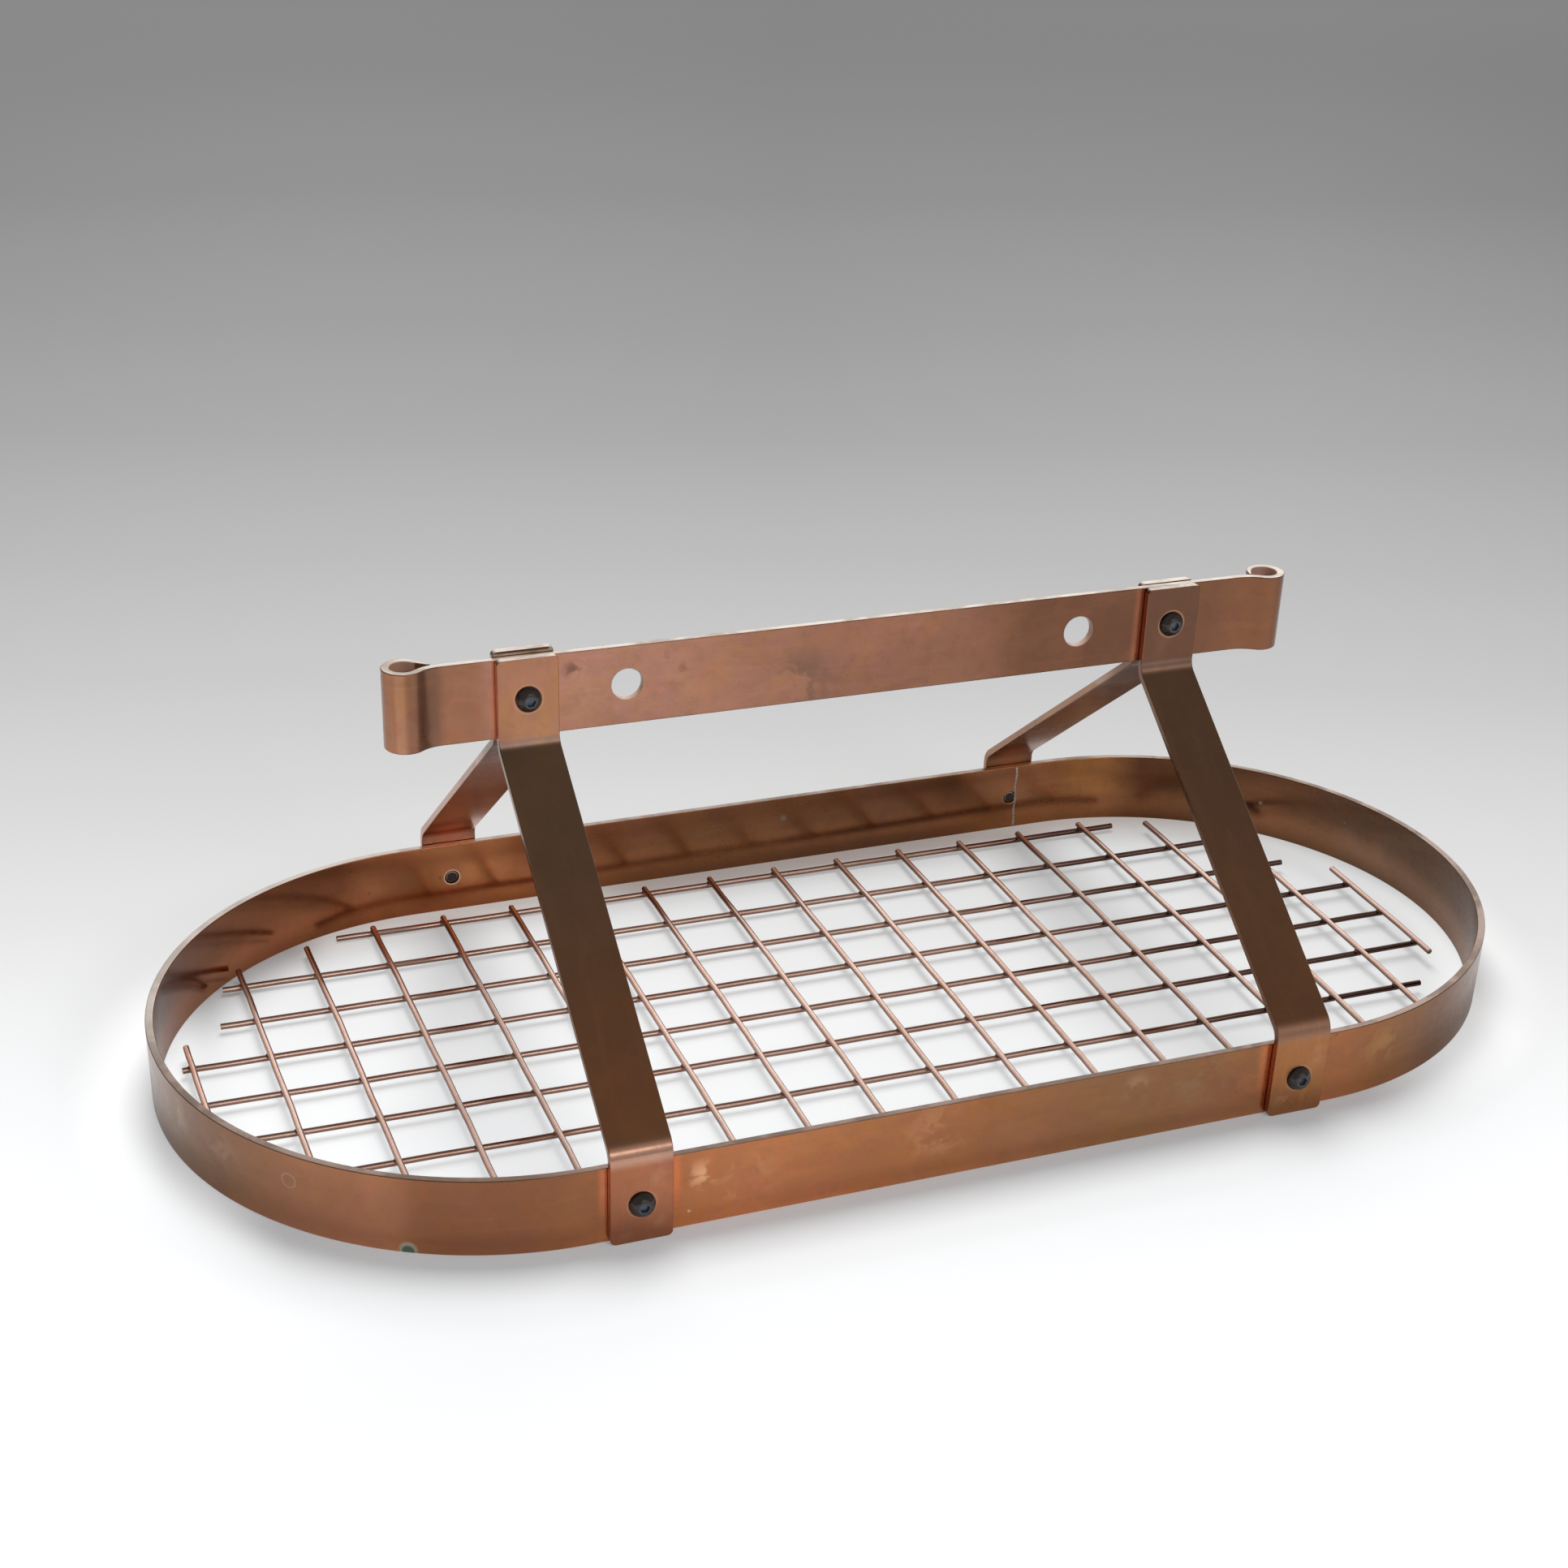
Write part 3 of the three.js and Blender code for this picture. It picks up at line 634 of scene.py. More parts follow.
ring_copper = ring_finish()
strap_copper = strap_finish()
bar_copper = top_bar_finish()
ring_rim_copper = pale_edge_with_highlight("worn_ring_rim_copper", (0.44, 0.33, 0.275), (0.35, 0.255, 0.205),
                              (0.80, 0.70, 0.63))
edge_copper = pale_edge_with_highlight("rubbed_edge_copper", (0.86, 0.76, 0.68), (0.70, 0.58, 0.50))
wire_copper = bright_wire_copper("bright_wire_copper")
weld_copper = weld_brown("burnt_weld_copper")
screw_steel = black_screw_steel("black_oxide_steel")


# ---------------------------------------------------------------- shapes

BEND_STEP = 5.0
HOLE_SOFTENING = 0.45
HOLE_SIDES = 64
# A bar's four corners: across the thickness, across the width, and where their curves start
BAR_CORNERS = ((1, 1, 0), (-1, 1, 90), (-1, -1, 180), (1, -1, 270))
CORNER_STEPS = 3


def add_object(name, data):
    """Puts a mesh, a camera or a lamp in the scene."""
    added = bpy.data.objects.new(name, data)
    bpy.context.scene.collection.objects.link(added)
    return added


def piece_of(name, shape, materials=()):
    """Turns a shape into a piece of the scene."""
    mesh = bpy.data.meshes.new(name)
    shape.to_mesh(mesh)
    shape.free()
    for material in materials:
        mesh.materials.append(material)
    return add_object(name, mesh)


def skin_rows(shape, rows, closed=False):
    """Side faces between rows of points, and caps at both ends of an open shape."""
    sides = []
    for here, there in zip(rows, rows[1:] + rows[:1] if closed else rows[1:]):
        for j in range(len(here)):
            k = (j + 1) % len(here)
            sides.append(shape.faces.new((here[j], here[k], there[k], there[j])))
    if not closed:
        shape.faces.new(rows[0])
        shape.faces.new(list(reversed(rows[-1])))
    return sides


def face_outwards(shape, smooth=True):
    bmesh.ops.recalc_face_normals(shape, faces=shape.faces)
    for face in shape.faces:
        face.smooth = smooth


def round_row(shape, x, y, z, radius, sides):
    """A row of points round a place, across the Y axis."""
    turns = [2 * math.pi * i / sides for i in range(sides)]
    return [
        shape.verts.new(Vector((x + radius * math.cos(a), y, z + radius * math.sin(a))) * MM)
        for a in turns
    ]


def plain_mesh(piece):
    """Turns a piece and its modifiers into one plain mesh and removes the modifiers."""
    bpy.context.view_layer.update()
    seen = piece.evaluated_get(bpy.context.evaluated_depsgraph_get())
    mesh = bpy.data.meshes.new_from_object(seen)
    mesh.name = piece.name
    piece.modifiers.clear()
    piece.data = mesh
    return piece


def cut_with(piece, tool, how="DIFFERENCE"):
    cut = piece.modifiers.new("cut", "BOOLEAN")
    cut.operation = how
    cut.solver = "EXACT"
    cut.object = tool


def finished(piece, nodes, body):
    if nodes:
        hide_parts(*nodes)
    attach(piece, body)


# ---------------------------------------------------------------- bent bars

def middle_line(start, heading, moves):
    """Follows a strip's middle line through straight runs and bends, as the bar is bent."""
    x, y = start
    direction = math.radians(heading)
    line = [(x, y, direction, BAR_THICKNESS / 2)]
    for move in moves:
        end_half = move.get("thin", BAR_THICKNESS) / 2
        if "run" in move:
            pieces = move.get("pieces", 1)
            first_half = line[-1][3]
            for i in range(1, pieces + 1):
                x += move["run"] / pieces * math.cos(direction)
                y += move["run"] / pieces * math.sin(direction)
                half = first_half + (end_half - first_half) * i / pieces
                line.append((x, y, direction, half))
            continue
        steps = max(1, math.ceil(abs(move["bend"]) / BEND_STEP))
        side = math.copysign(math.pi / 2, move["bend"])
        radius = move["radius"]
        centre_x = x + radius * math.cos(direction + side)
        centre_y = y + radius * math.sin(direction + side)
        for step in range(steps):
            direction += math.radians(move["bend"]) / steps
            x = centre_x - radius * math.cos(direction + side)
            y = centre_y - radius * math.sin(direction + side)
            past = max(0.0, (step + 1) / steps - 0.5) * 2
            half = BAR_THICKNESS / 2 + (end_half - BAR_THICKNESS / 2) * past
            line.append((x, y, direction, half))
    return line


def bar_section(half_thickness, half_width, softening):
    """A bar's section with softened corners: points (across the thickness, across the width)."""
    points = []
    for sign_t, sign_w, start in BAR_CORNERS:
        for i in range(CORNER_STEPS + 1):
            angle = math.radians(start + 90 * i / CORNER_STEPS)
            points.append((
                sign_t * (half_thickness - softening) + softening * math.cos(angle),
                sign_w * (half_width - softening) + softening * math.sin(angle),
            ))
    return points


def sweep_bar(name, stations, width_axis, materials, closed=False):
    """Sweeps the softened section along stations (place, sideways, half thickness, half width).

    The place is in millimetres, and sideways is the direction of the bar's thickness. Faces
    that look up take the second material. The UV map "along" is in metres.
    """
    shape = bmesh.new()
    uv_layer = shape.loops.layers.uv.new("along")
    width_axis = Vector(width_axis)
    rows = []
    for place, sideways, half_t, half_w in stations:
        section = bar_section(half_t, half_w, min(EDGE_SOFTENING, half_t * 0.9, half_w * 0.9))
        rows.append([
            shape.verts.new((Vector(place) + Vector(sideways) * t + width_axis * w) * MM)
            for t, w in section
        ])
    lengths = [0.0]
    for here, there in zip(stations, stations[1:] + stations[:1]):
        lengths.append(lengths[-1] + (Vector(there[0]) - Vector(here[0])).length * MM)
    halves = stations[len(stations) // 2][2:]
    section = bar_section(*halves, EDGE_SOFTENING)
    across = [0.0]
    for here, there in zip(section, section[1:] + section[:1]):
        across.append(across[-1] + math.dist(here, there) * MM)
    for number, face in enumerate(skin_rows(shape, rows, closed)):
        i, j = divmod(number, len(section))
        corners = ((i, j), (i, j + 1), (i + 1, j + 1), (i + 1, j))
        for loop, (row, column) in zip(face.loops, corners):
            loop[uv_layer].uv = (lengths[row], across[column])
    face_outwards(shape)
    for face in shape.faces:
        if face.normal.z > 0.8:
            face.material_index = 1
    return piece_of(name, shape, materials)


def hole_cutter(x, y, z, radius):
    """A drill along Y, a little wider at both faces of the bar."""
    shape = bmesh.new()
    uv_layer = shape.loops.layers.uv.new("along")
    half, wide = BAR_THICKNESS / 2, radius + HOLE_SOFTENING
    outline = (
        (-half - 2.0, wide), (-half, wide), (-half + HOLE_SOFTENING, radius),
        (half - HOLE_SOFTENING, radius), (half, wide), (half + 2.0, wide),
    )
    skin_rows(shape, [round_row(shape, x, y + depth, z, reach, HOLE_SIDES)
                      for depth, reach in outline])
    face_outwards(shape)
    for face in shape.faces:
        for loop in face.loops:
            loop[uv_layer].uv = (loop.vert.co.x, loop.vert.co.z)
    return piece_of("drill", shape)


def drilled(piece, holes):
    """Drills the holes through a piece and evens its shading."""
    drills = [hole_cutter(*hole) for hole in holes]
    for drill in drills:
        cut_with(piece, drill)
    even = piece.modifiers.new("even", "WEIGHTED_NORMAL")
    even.mode = "FACE_AREA"
    even.weight = 50
    plain_mesh(piece)
    for drill in drills:
        bpy.data.objects.remove(drill)
    return piece


def ring_stations():
    """The oval's middle line, starting and ending at the butt weld in the back wall."""
    half = RING_HALF_STRAIGHT
    places = []

    def round_end(middle_x, start):
        for i in range(1, 97):
            angle = math.radians(start + 180 * i / 96)
            nx, ny = math.cos(angle), math.sin(angle)
            places.append((middle_x + RING_MIDDLE * nx, RING_MIDDLE * ny, nx, ny))

    for i in range(17):
        places.append((RING_SEAM_X - (RING_SEAM_X + half) * i / 16, RING_MIDDLE, 0, 1))
    round_end(-half, 90)
    for i in range(1, 17):
        places.append((-half + 2 * half * i / 16, -RING_MIDDLE, 0, -1))
    round_end(half, -90)
    return [((x, y, BAR_HEIGHT / 2), (nx, ny, 0), BAR_THICKNESS / 2, BAR_HEIGHT / 2)
            for x, y, nx, ny in places]


def make_butt_weld():
    """The dressed weld bead down the inside of the back wall, where the ring's bar meets."""
    shape = bmesh.new()
    steps, around, sunk = 46, 10, 0.35
    rows = []
    for i in range(steps + 1):
        x = RING_SEAM_X + 0.35 * math.sin(i * 0.35)
        z = 1.2 + (BAR_HEIGHT - 2.4) * i / steps
        half = 1.0 + 0.28 * math.sin(i * 2.1) + 0.15 * math.sin(i * 0.7)
        stand = (0.45 + 0.12 * math.cos(i * 2.1)) * min(1.0, (i + 1) / 3, (steps + 1 - i) / 3)
        row = []
        for j in range(around):
            angle = 2 * math.pi * j / around
            reach = stand + sunk if math.sin(angle) > 0 else 0.25
            y = RING_INSIDE + sunk - reach * math.sin(angle)
            row.append(shape.verts.new(Vector((x + half * math.cos(angle), y, z)) * MM))
        rows.append(row)
    skin_rows(shape, rows)
    face_outwards(shape)
    return piece_of("ring_butt_weld", shape, (edge_copper,))


def make_ring():
    """The oval bar with its screw holes, and the weld that closes it."""
    ring = sweep_bar("oval_ring_bar", ring_stations(), (0, 0, 1),
                     (ring_copper, ring_rim_copper), closed=True)
    holes = [(x, y, RING_SCREW_Z, SCREW_RADIUS + SCREW_FIT)
             for x in STRAP_XS for y in (-RING_MIDDLE, RING_MIDDLE)]
    finished(drilled(ring, holes), ["oval_ring"], "rack")
    finished(make_butt_weld(), [], "rack")


def rounded_ends(stations):
    """Draws in the width of a strap near both ends, for its rounded corners."""
    runs = [0.0]
    for here, there in zip(stations, stations[1:]):
        runs.append(runs[-1] + math.dist(here[0], there[0]))
    radius = STRAP_CORNER_RADIUS
    shaped = []
    for (place, sideways, half_t, half_w), run in zip(stations, runs):
        inward = min(run, runs[-1] - run)
        if inward < radius:
            half_w -= radius - math.sqrt(max(0.0, radius ** 2 - (radius - inward) ** 2))
        shaped.append((place, sideways, half_t, half_w))
    return shaped


def make_strap(corner, x, outward, upper_bend, top):
    """One strap: tab on the ring, sloping leg, tab on the top bar."""
    lower_y = -RING_END_RADIUS - SEAT - BAR_THICKNESS / 2
    upper_y = -outward * TOP_BAR_Y - BAR_THICKNESS - SEAT
    rise = upper_bend - STRAP_LOWER_BEND
    bend = math.pi / 2 - math.atan2(rise, upper_y - lower_y)
    bend_run = STRAP_BEND_RADIUS * math.tan(bend / 2)
    corner_runs = [STRAP_CORNER_RADIUS * (1 - math.cos(math.radians(15 * i))) for i in range(7)]
    corner_moves = [{"run": b - a} for a, b in zip(corner_runs, corner_runs[1:])]
    line = middle_line((lower_y, 0.0), 90, [
        *corner_moves,
        {"run": STRAP_LOWER_BEND - bend_run - STRAP_CORNER_RADIUS, "pieces": 4},
        {"bend": -math.degrees(bend), "radius": STRAP_BEND_RADIUS},
        {"run": math.hypot(rise, upper_y - lower_y) - 2 * bend_run, "pieces": 12},
        {"bend": math.degrees(bend), "radius": STRAP_BEND_RADIUS},
        {"run": top - upper_bend - bend_run - STRAP_CORNER_RADIUS, "pieces": 4},
        *reversed(corner_moves),
    ])
    stations = []
    for y, z, direction, half in line:
        # Sideways is to the right of the way up the strap, which is outwards and up
        side = (0.0, -outward * math.sin(direction), -math.cos(direction))
        stations.append(((x, -outward * y, z), side, half, STRAP_WIDTH / 2))
    strap = sweep_bar("strap_bar_" + corner, rounded_ends(stations), (1, 0, 0),
                      (strap_copper, edge_copper))
    for polygon in strap.data.polygons:
        # Only the cut end on top takes the pale edge with its painted highlight, not the sloping
        # leg
        if polygon.center.z < (top - 4) * MM:
            polygon.material_index = 0
    radius = SCREW_RADIUS + STRAP_HOLE_FIT
    holes = [(x, -outward * lower_y, RING_SCREW_Z, radius),
             (x, -outward * upper_y, bar_hole_z(x), radius)]
    finished(drilled(strap, holes), ["strap_" + corner], "rack")


def half_bar(eye_x, tail_turn, tail_run, roll_thin, tail_thin):
    """Half of the top bar's middle line: straight, swung forward, rolled round and tailed off."""
    swing = eye_x - SWING_START
    swing_radius = (swing ** 2 + EYE_Y ** 2 - EYE_RADIUS ** 2) / (2 * (EYE_RADIUS - EYE_Y))
    swing_turn = math.degrees(math.asin(swing / (swing_radius + EYE_RADIUS)))
    return middle_line((0.0, 0.0), 0, [
        {"run": SWING_START, "pieces": 10},
        {"bend": -swing_turn, "radius": swing_radius},
        {"bend": swing_turn + 90 + tail_turn, "radius": EYE_RADIUS, "thin": roll_thin},
        {"run": tail_run, "pieces": 6, "thin": tail_thin},
    ])


def make_top_bar():
    """The bar between the straps, with both its ends rolled into eyes."""
    tilt = Matrix.Rotation(math.radians(TOP_BAR_TILT), 3, "Y")
    centre = Vector((0.0, TOP_BAR_Y, TOP_BAR_MIDDLE))
    stations = []
    for sign, line in ((-1, reversed(half_bar(*LEFT_EYE)[1:])), (1, half_bar(*RIGHT_EYE))):
        for x, y, direction, half in line:
            side = tilt @ Vector((-sign * math.sin(direction), math.cos(direction), 0.0))
            place = centre + tilt @ Vector((sign * x, y, 0.0))
            stations.append((place, side, half, BAR_HEIGHT / 2))
    bar = sweep_bar("rolled_top_bar", stations, tilt @ Vector((0, 0, 1)),
                    (bar_copper, edge_copper))
    holes = [(x, TOP_BAR_Y, bar_hole_z(x), HANGING_HOLE_RADIUS)
             for x in (-HANGING_HOLE_X, HANGING_HOLE_X)]
    holes += [(x, TOP_BAR_Y, bar_hole_z(x), SCREW_RADIUS + STRAP_HOLE_FIT) for x in STRAP_XS]
    finished(drilled(bar, holes), ["top_bar"], "rack")


# ---------------------------------------------------------------- screws and nuts

def turned(name, outline, sides=48):
    """A turned part about the Y axis from an outline of (y, radius), closed on the axis."""
    shape = bmesh.new()
    first = shape.verts.new((0, outline[0][0] * MM, 0))
    last = shape.verts.new((0, outline[-1][0] * MM, 0))
    rows = [round_row(shape, 0, y, 0, radius, sides) for y, radius in outline[1:-1]]
    for i in range(sides):
        k = (i + 1) % sides
        shape.faces.new((first, rows[0][i], rows[0][k]))
        shape.faces.new((last, rows[-1][k], rows[-1][i]))
        for row, following in zip(rows, rows[1:]):
            shape.faces.new((row[i], following[i], following[k], row[k]))
    face_outwards(shape)
    return piece_of(name, shape)


def hexagon(name, across, low, high):
    """A hexagon bar along Y."""
    shape = bmesh.new()
    skin_rows(shape, [round_row(shape, 0, y, 0, across / math.sqrt(3), 6) for y in (low, high)])
    face_outwards(shape, smooth=False)
    return piece_of(name, shape)


def cut_away(piece, tool):
    """Cuts the tool's shape out of a piece and softens the edges."""
    cut_with(piece, tool)
    soften = piece.modifiers.new("soften", "BEVEL")
    soften.width = SOFT_EDGE * MM
    soften.segments = 2
    soften.limit_method = "ANGLE"
    soften.angle_limit = math.radians(40)
    plain_mesh(piece)
    bpy.data.objects.remove(tool)
    piece.data.set_sharp_from_angle(angle=math.radians(38))
    return piece


def button_screw(name, shank):
    """A button-head socket screw along Y, its seat at y = 0 and its head towards -Y."""
    # The head is flat round its socket and domed from there to its rim
    flat = SOCKET_ACROSS * 0.68
    dome = (HEAD_RADIUS ** 2 + HEAD_HEIGHT ** 2) / (2 * HEAD_HEIGHT) * 1.02
    fall = dome - math.sqrt(dome ** 2 - (HEAD_RADIUS - flat) ** 2)
    outline = [(-HEAD_HEIGHT, 0.0)]
    for i in range(13):
        reach = flat + (HEAD_RADIUS - flat) * i / 12
        drop = (dome - math.sqrt(dome ** 2 - (reach - flat) ** 2)) / fall
        outline.append((-HEAD_HEIGHT + drop * (HEAD_HEIGHT - HEAD_RIM), reach))
    outline += [(0.0, HEAD_RADIUS), (0.0, SCREW_RADIUS)]
    y = 0.6
    while y + THREAD_PITCH < shank - 0.5:
        outline += [(y, SCREW_RADIUS - THREAD_DEPTH), (y + THREAD_PITCH / 2, SCREW_RADIUS)]
        y += THREAD_PITCH
    outline += [(shank - 0.7, SCREW_RADIUS - 0.6), (shank, SCREW_RADIUS - 1.1),
                (shank, SCREW_RADIUS - 1.25), (shank, 0.0)]
    screw = turned(name, outline)
    socket = hexagon("socket", SOCKET_ACROSS, -HEAD_HEIGHT - 1.0, -HEAD_HEIGHT + SOCKET_DEPTH)
    cut_away(screw, socket)
    for label, chosen in (
        ("socket", lambda y, reach: y < -1.0 and reach < SOCKET_ACROSS / math.sqrt(3) + 0.3),
        ("tip", lambda y, reach: y > shank - 0.9 and reach > SCREW_RADIUS - 1.18),
    ):
        marked = screw.data.attributes.new(label, "FLOAT", "POINT")
        for vertex in screw.data.vertices:
            x, y, z = vertex.co / MM
            marked.data[vertex.index].value = 1.0 if chosen(y, math.hypot(x, z)) else 0.0
    return screw


def hex_nut(name):
    """A plain hexagon nut along Y, chamfered at both faces, its seat at y = 0."""
    nut = hexagon(name, NUT_ACROSS, 0.0, NUT_HEIGHT)
    wide = NUT_ACROSS / math.sqrt(3)
    limits = turned("nut_limits", [
        (0.0, 0.0), (0.0, wide - 1.1), (0.7, wide), (NUT_HEIGHT - 0.7, wide),
        (NUT_HEIGHT, wide - 1.1), (NUT_HEIGHT, 0.0),
    ], 60)
    cut_with(nut, limits, "INTERSECT")
    plain_mesh(nut)
    bpy.data.objects.remove(limits)
    bore = SCREW_RADIUS + SCREW_FIT
    return cut_away(nut, turned("nut_bore", [
        (-1.0, 0.0), (-1.0, bore + 0.6), (0.0, bore + 0.6), (0.6, bore),
        (NUT_HEIGHT - 0.6, bore), (NUT_HEIGHT, bore + 0.6), (NUT_HEIGHT + 1.0, bore + 0.6),
        (NUT_HEIGHT + 1.0, 0.0),
    ]))


def new_tree(name, inputs):
    """An empty Geometry Nodes tree; inputs are (name, kind), after the geometry."""
    tree = bpy.data.node_groups.new(name, "GeometryNodeTree")
    for label, kind in (("Geometry", "Geometry"), *inputs):
        tree.interface.new_socket(label, in_out="INPUT", socket_type="NodeSocket" + kind)
    tree.interface.new_socket("Geometry", in_out="OUTPUT", socket_type="NodeSocketGeometry")
    given = tree.nodes.new("NodeGroupInput")
    result = tree.nodes.new("NodeGroupOutput")
    return tree, given.outputs, result.inputs[0]


def named_value(tree, name, kind):
    return add_node(tree, "GeometryNodeInputNamedAttribute", {"Name": name},
                    data_type=kind).outputs["Attribute"]


def dressed(tree, geometry, finish):
    return add_node(tree, "GeometryNodeSetMaterial", {
        "Geometry": geometry, "Material": finish,
    }).outputs[0]


def run_tree(piece, tree, values):
    """Sets a tree's inputs by their names, runs it on a piece and leaves one plain mesh."""
    setter = piece.modifiers.new("tree", "NODES")
    setter.node_group = tree
    for item in tree.interface.items_tree:
        if item.item_type == "SOCKET" and item.in_out == "INPUT" and item.name in values:
            setter[item.identifier] = values[item.name]
    return plain_mesh(piece)


def fastener_tree():
    """Sets one fastener at each point, its Y axis turned to the point's "facing"."""
    tree, given, result = new_tree("set_fasteners",
                                   (("Fastener", "Object"), ("Finish", "Material")))
    turn = add_node(tree, "FunctionNodeAlignRotationToVector",
                    {"Vector": named_value(tree, "facing", "FLOAT_VECTOR")},
                    axis="Y", pivot_axis="Z")
    shape = add_node(tree, "GeometryNodeObjectInfo", {"Object": given["Fastener"]})
    spread = add_node(tree, "GeometryNodeInstanceOnPoints", {
        "Points": given["Geometry"], "Instance": shape.outputs["Geometry"],
        "Rotation": turn.outputs["Rotation"],
    })
    real = add_node(tree, "GeometryNodeRealizeInstances", {0: spread.outputs[0]})
    tree.links.new(dressed(tree, real.outputs[0], given["Finish"]), result)
    return tree


def set_fastener(name, tree, fastener, place, direction):
    """One fastener as a plain mesh, at a place in millimetres."""
    mesh = bpy.data.meshes.new(name)
    mesh.from_pydata([tuple(v * MM for v in place)], [], [])
    mesh.attributes.new("facing", "FLOAT_VECTOR", "POINT").data[0].vector = direction
    return run_tree(add_object(name, mesh), tree, {"Fastener": fastener, "Finish": screw_steel})


def make_fasteners():
    """Screws from outside through the straps and the ring, and bolts through the top bar."""
    tree = fastener_tree()
    outside = RING_END_RADIUS + SEAT + BAR_THICKNESS + SEAT
    clamp = BAR_THICKNESS / 2 + SEAT + BAR_THICKNESS + SEAT
    ring_screw = button_screw("ring_screw_pattern", outside - RING_INSIDE - SEAT)
    clamp_bolt = button_screw("clamp_bolt_pattern", 2 * clamp + NUT_HEIGHT + BOLT_BEYOND_NUT)
    nut = hex_nut("clamp_nut_pattern")
    sets = []
    for corner, (x, outward, *_) in STRAPS.items():
        place = (x, outward * outside, RING_SCREW_Z)
        sets.append(("ring_screw_" + corner, ring_screw, place, (0, -outward, 0)))
    for side, x in zip(("left", "right"), STRAP_XS):
        z = bar_hole_z(x)
        sets.append(("clamp_bolt_" + side, clamp_bolt, (x, TOP_BAR_Y - clamp, z), (0, 1, 0)))
        sets.append(("clamp_nut_" + side, nut, (x, TOP_BAR_Y + clamp, z), (0, 1, 0)))
    for node, fastener, place, direction in sets:
        piece = set_fastener("set_" + node, tree, fastener, place, direction)
        finished(piece, [node], "rack")
    for pattern in (ring_screw, clamp_bolt, nut):
        bpy.data.objects.remove(pattern)


# ---------------------------------------------------------------- wire grid

def grid_tree():
    """Makes round wires of the base lines, and a burnt bead at each welded crossing."""
    tree, given, result = new_tree("weld_grid", (
        ("Wire radius", "Float"), ("Bead radius", "Float"),
        ("Wire finish", "Material"), ("Weld finish", "Material"),
    ))
    lines = add_node(tree, "GeometryNodeMeshToCurve", {0: given["Geometry"]})
    circle = add_node(tree, "GeometryNodeCurvePrimitiveCircle", {
        "Resolution": 16, "Radius": given["Wire radius"],
    })
    wires = add_node(tree, "GeometryNodeCurveToMesh", {
        "Curve": lines.outputs[0], "Profile Curve": circle.outputs[0], "Fill Caps": True,
    })
    wires = dressed(tree, wires.outputs[0], given["Wire finish"])
    crossing = add_node(tree, "FunctionNodeCompare", {
        0: named_value(tree, "weld", "FLOAT"), 1: 0.5,
    }, data_type="FLOAT", operation="GREATER_THAN")
    points = add_node(tree, "GeometryNodeMeshToPoints", {
        "Mesh": given["Geometry"], "Selection": crossing.outputs[0],
        "Position": named_value(tree, "bead_place", "FLOAT_VECTOR"),
    })
    bead = add_node(tree, "GeometryNodeMeshIcoSphere", {
        "Radius": given["Bead radius"], "Subdivisions": 3,
    })
    size = add_node(tree, "FunctionNodeRandomValue", {
        0: (0.85, 0.85, 0.34), 1: (1.15, 1.15, 0.42), "Seed": 4,
    }, data_type="FLOAT_VECTOR")
    beads = add_node(tree, "GeometryNodeInstanceOnPoints", {
        "Points": points.outputs[0], "Instance": bead.outputs[0], "Scale": size.outputs[0],
    })
    real = add_node(tree, "GeometryNodeRealizeInstances", {0: beads.outputs[0]})
    beads = dressed(tree, real.outputs[0], given["Weld finish"])
    joined = tree.nodes.new("GeometryNodeJoinGeometry")
    tree.links.new(beads, joined.inputs[0])
    tree.links.new(wires, joined.inputs[0])
    smooth = add_node(tree, "GeometryNodeSetShadeSmooth", {"Geometry": joined.outputs[0]})
    tree.links.new(smooth.outputs[0], result)
    return tree


def grid_place(u, v, z):
    """A point of the grid where it lies: off the middle, slightly turned and a little bowed."""
    turn = math.radians(GRID_TURN)
    x = GRID_MIDDLE[0] + u * math.cos(turn) - v * math.sin(turn)
    y = GRID_MIDDLE[1] + u * math.sin(turn) + v * math.cos(turn)
    # Part of the way to the grid's end and to its side, and the bow there in millimetres
    a, b = u / 400, v / 200
    bow = (3.53 + 1.15 * a - 0.02 * b + 0.94 * a * a + 0.43 * a * b - 3.27 * b * b
           - 0.31 * a * a * b - 0.45 * a * b * b)
    return x, y, z + max(0.0, bow)


def clamped(value):
    return min(1.0, max(0.0, value))


def paint_wire_highlights(mesh):
    """Gives each point of the wires its painted highlight value: brown sides, and a painted bright
    line.
    """
    crosswise = [value.value for value in mesh.attributes["crosswise"].data]
    rubbed = mesh.attributes.new("rubbed", "FLOAT", "POINT")
    for vertex, cross in zip(mesh.vertices, crosswise):
        normal = vertex.normal
        if cross > 0.5:
            # Painted highlight: cross wires are bright on top and down their left side, less at
            # their far ends
            turn = math.degrees(math.atan2(normal.z, -normal.x))
            bright = clamped(1.0 - abs(turn - 62.0) / 72.0)
            far = clamped((vertex.co.y - 0.05) / 0.11) * (1.0 if vertex.co.x < 0 else 0.6)
            bright *= 1.0 - 0.85 * far
        else:
            # Painted highlight: long wires have a narrow bright line in front, and they darken to
            # the right
            turn = math.degrees(math.atan2(normal.z, -normal.y))
            bright = clamped(1.0 - abs(turn - 30.0) / 27.0)
            low = clamped(1.0 - abs(turn + 38.0) / 36.0)
            right = clamped((vertex.co.x - 0.10) / 0.14)
            bright = max(bright, 0.6 * low) * (1.0 - 0.95 * right)
        rubbed.data[vertex.index].value = min(1.0, 1.5 * bright)


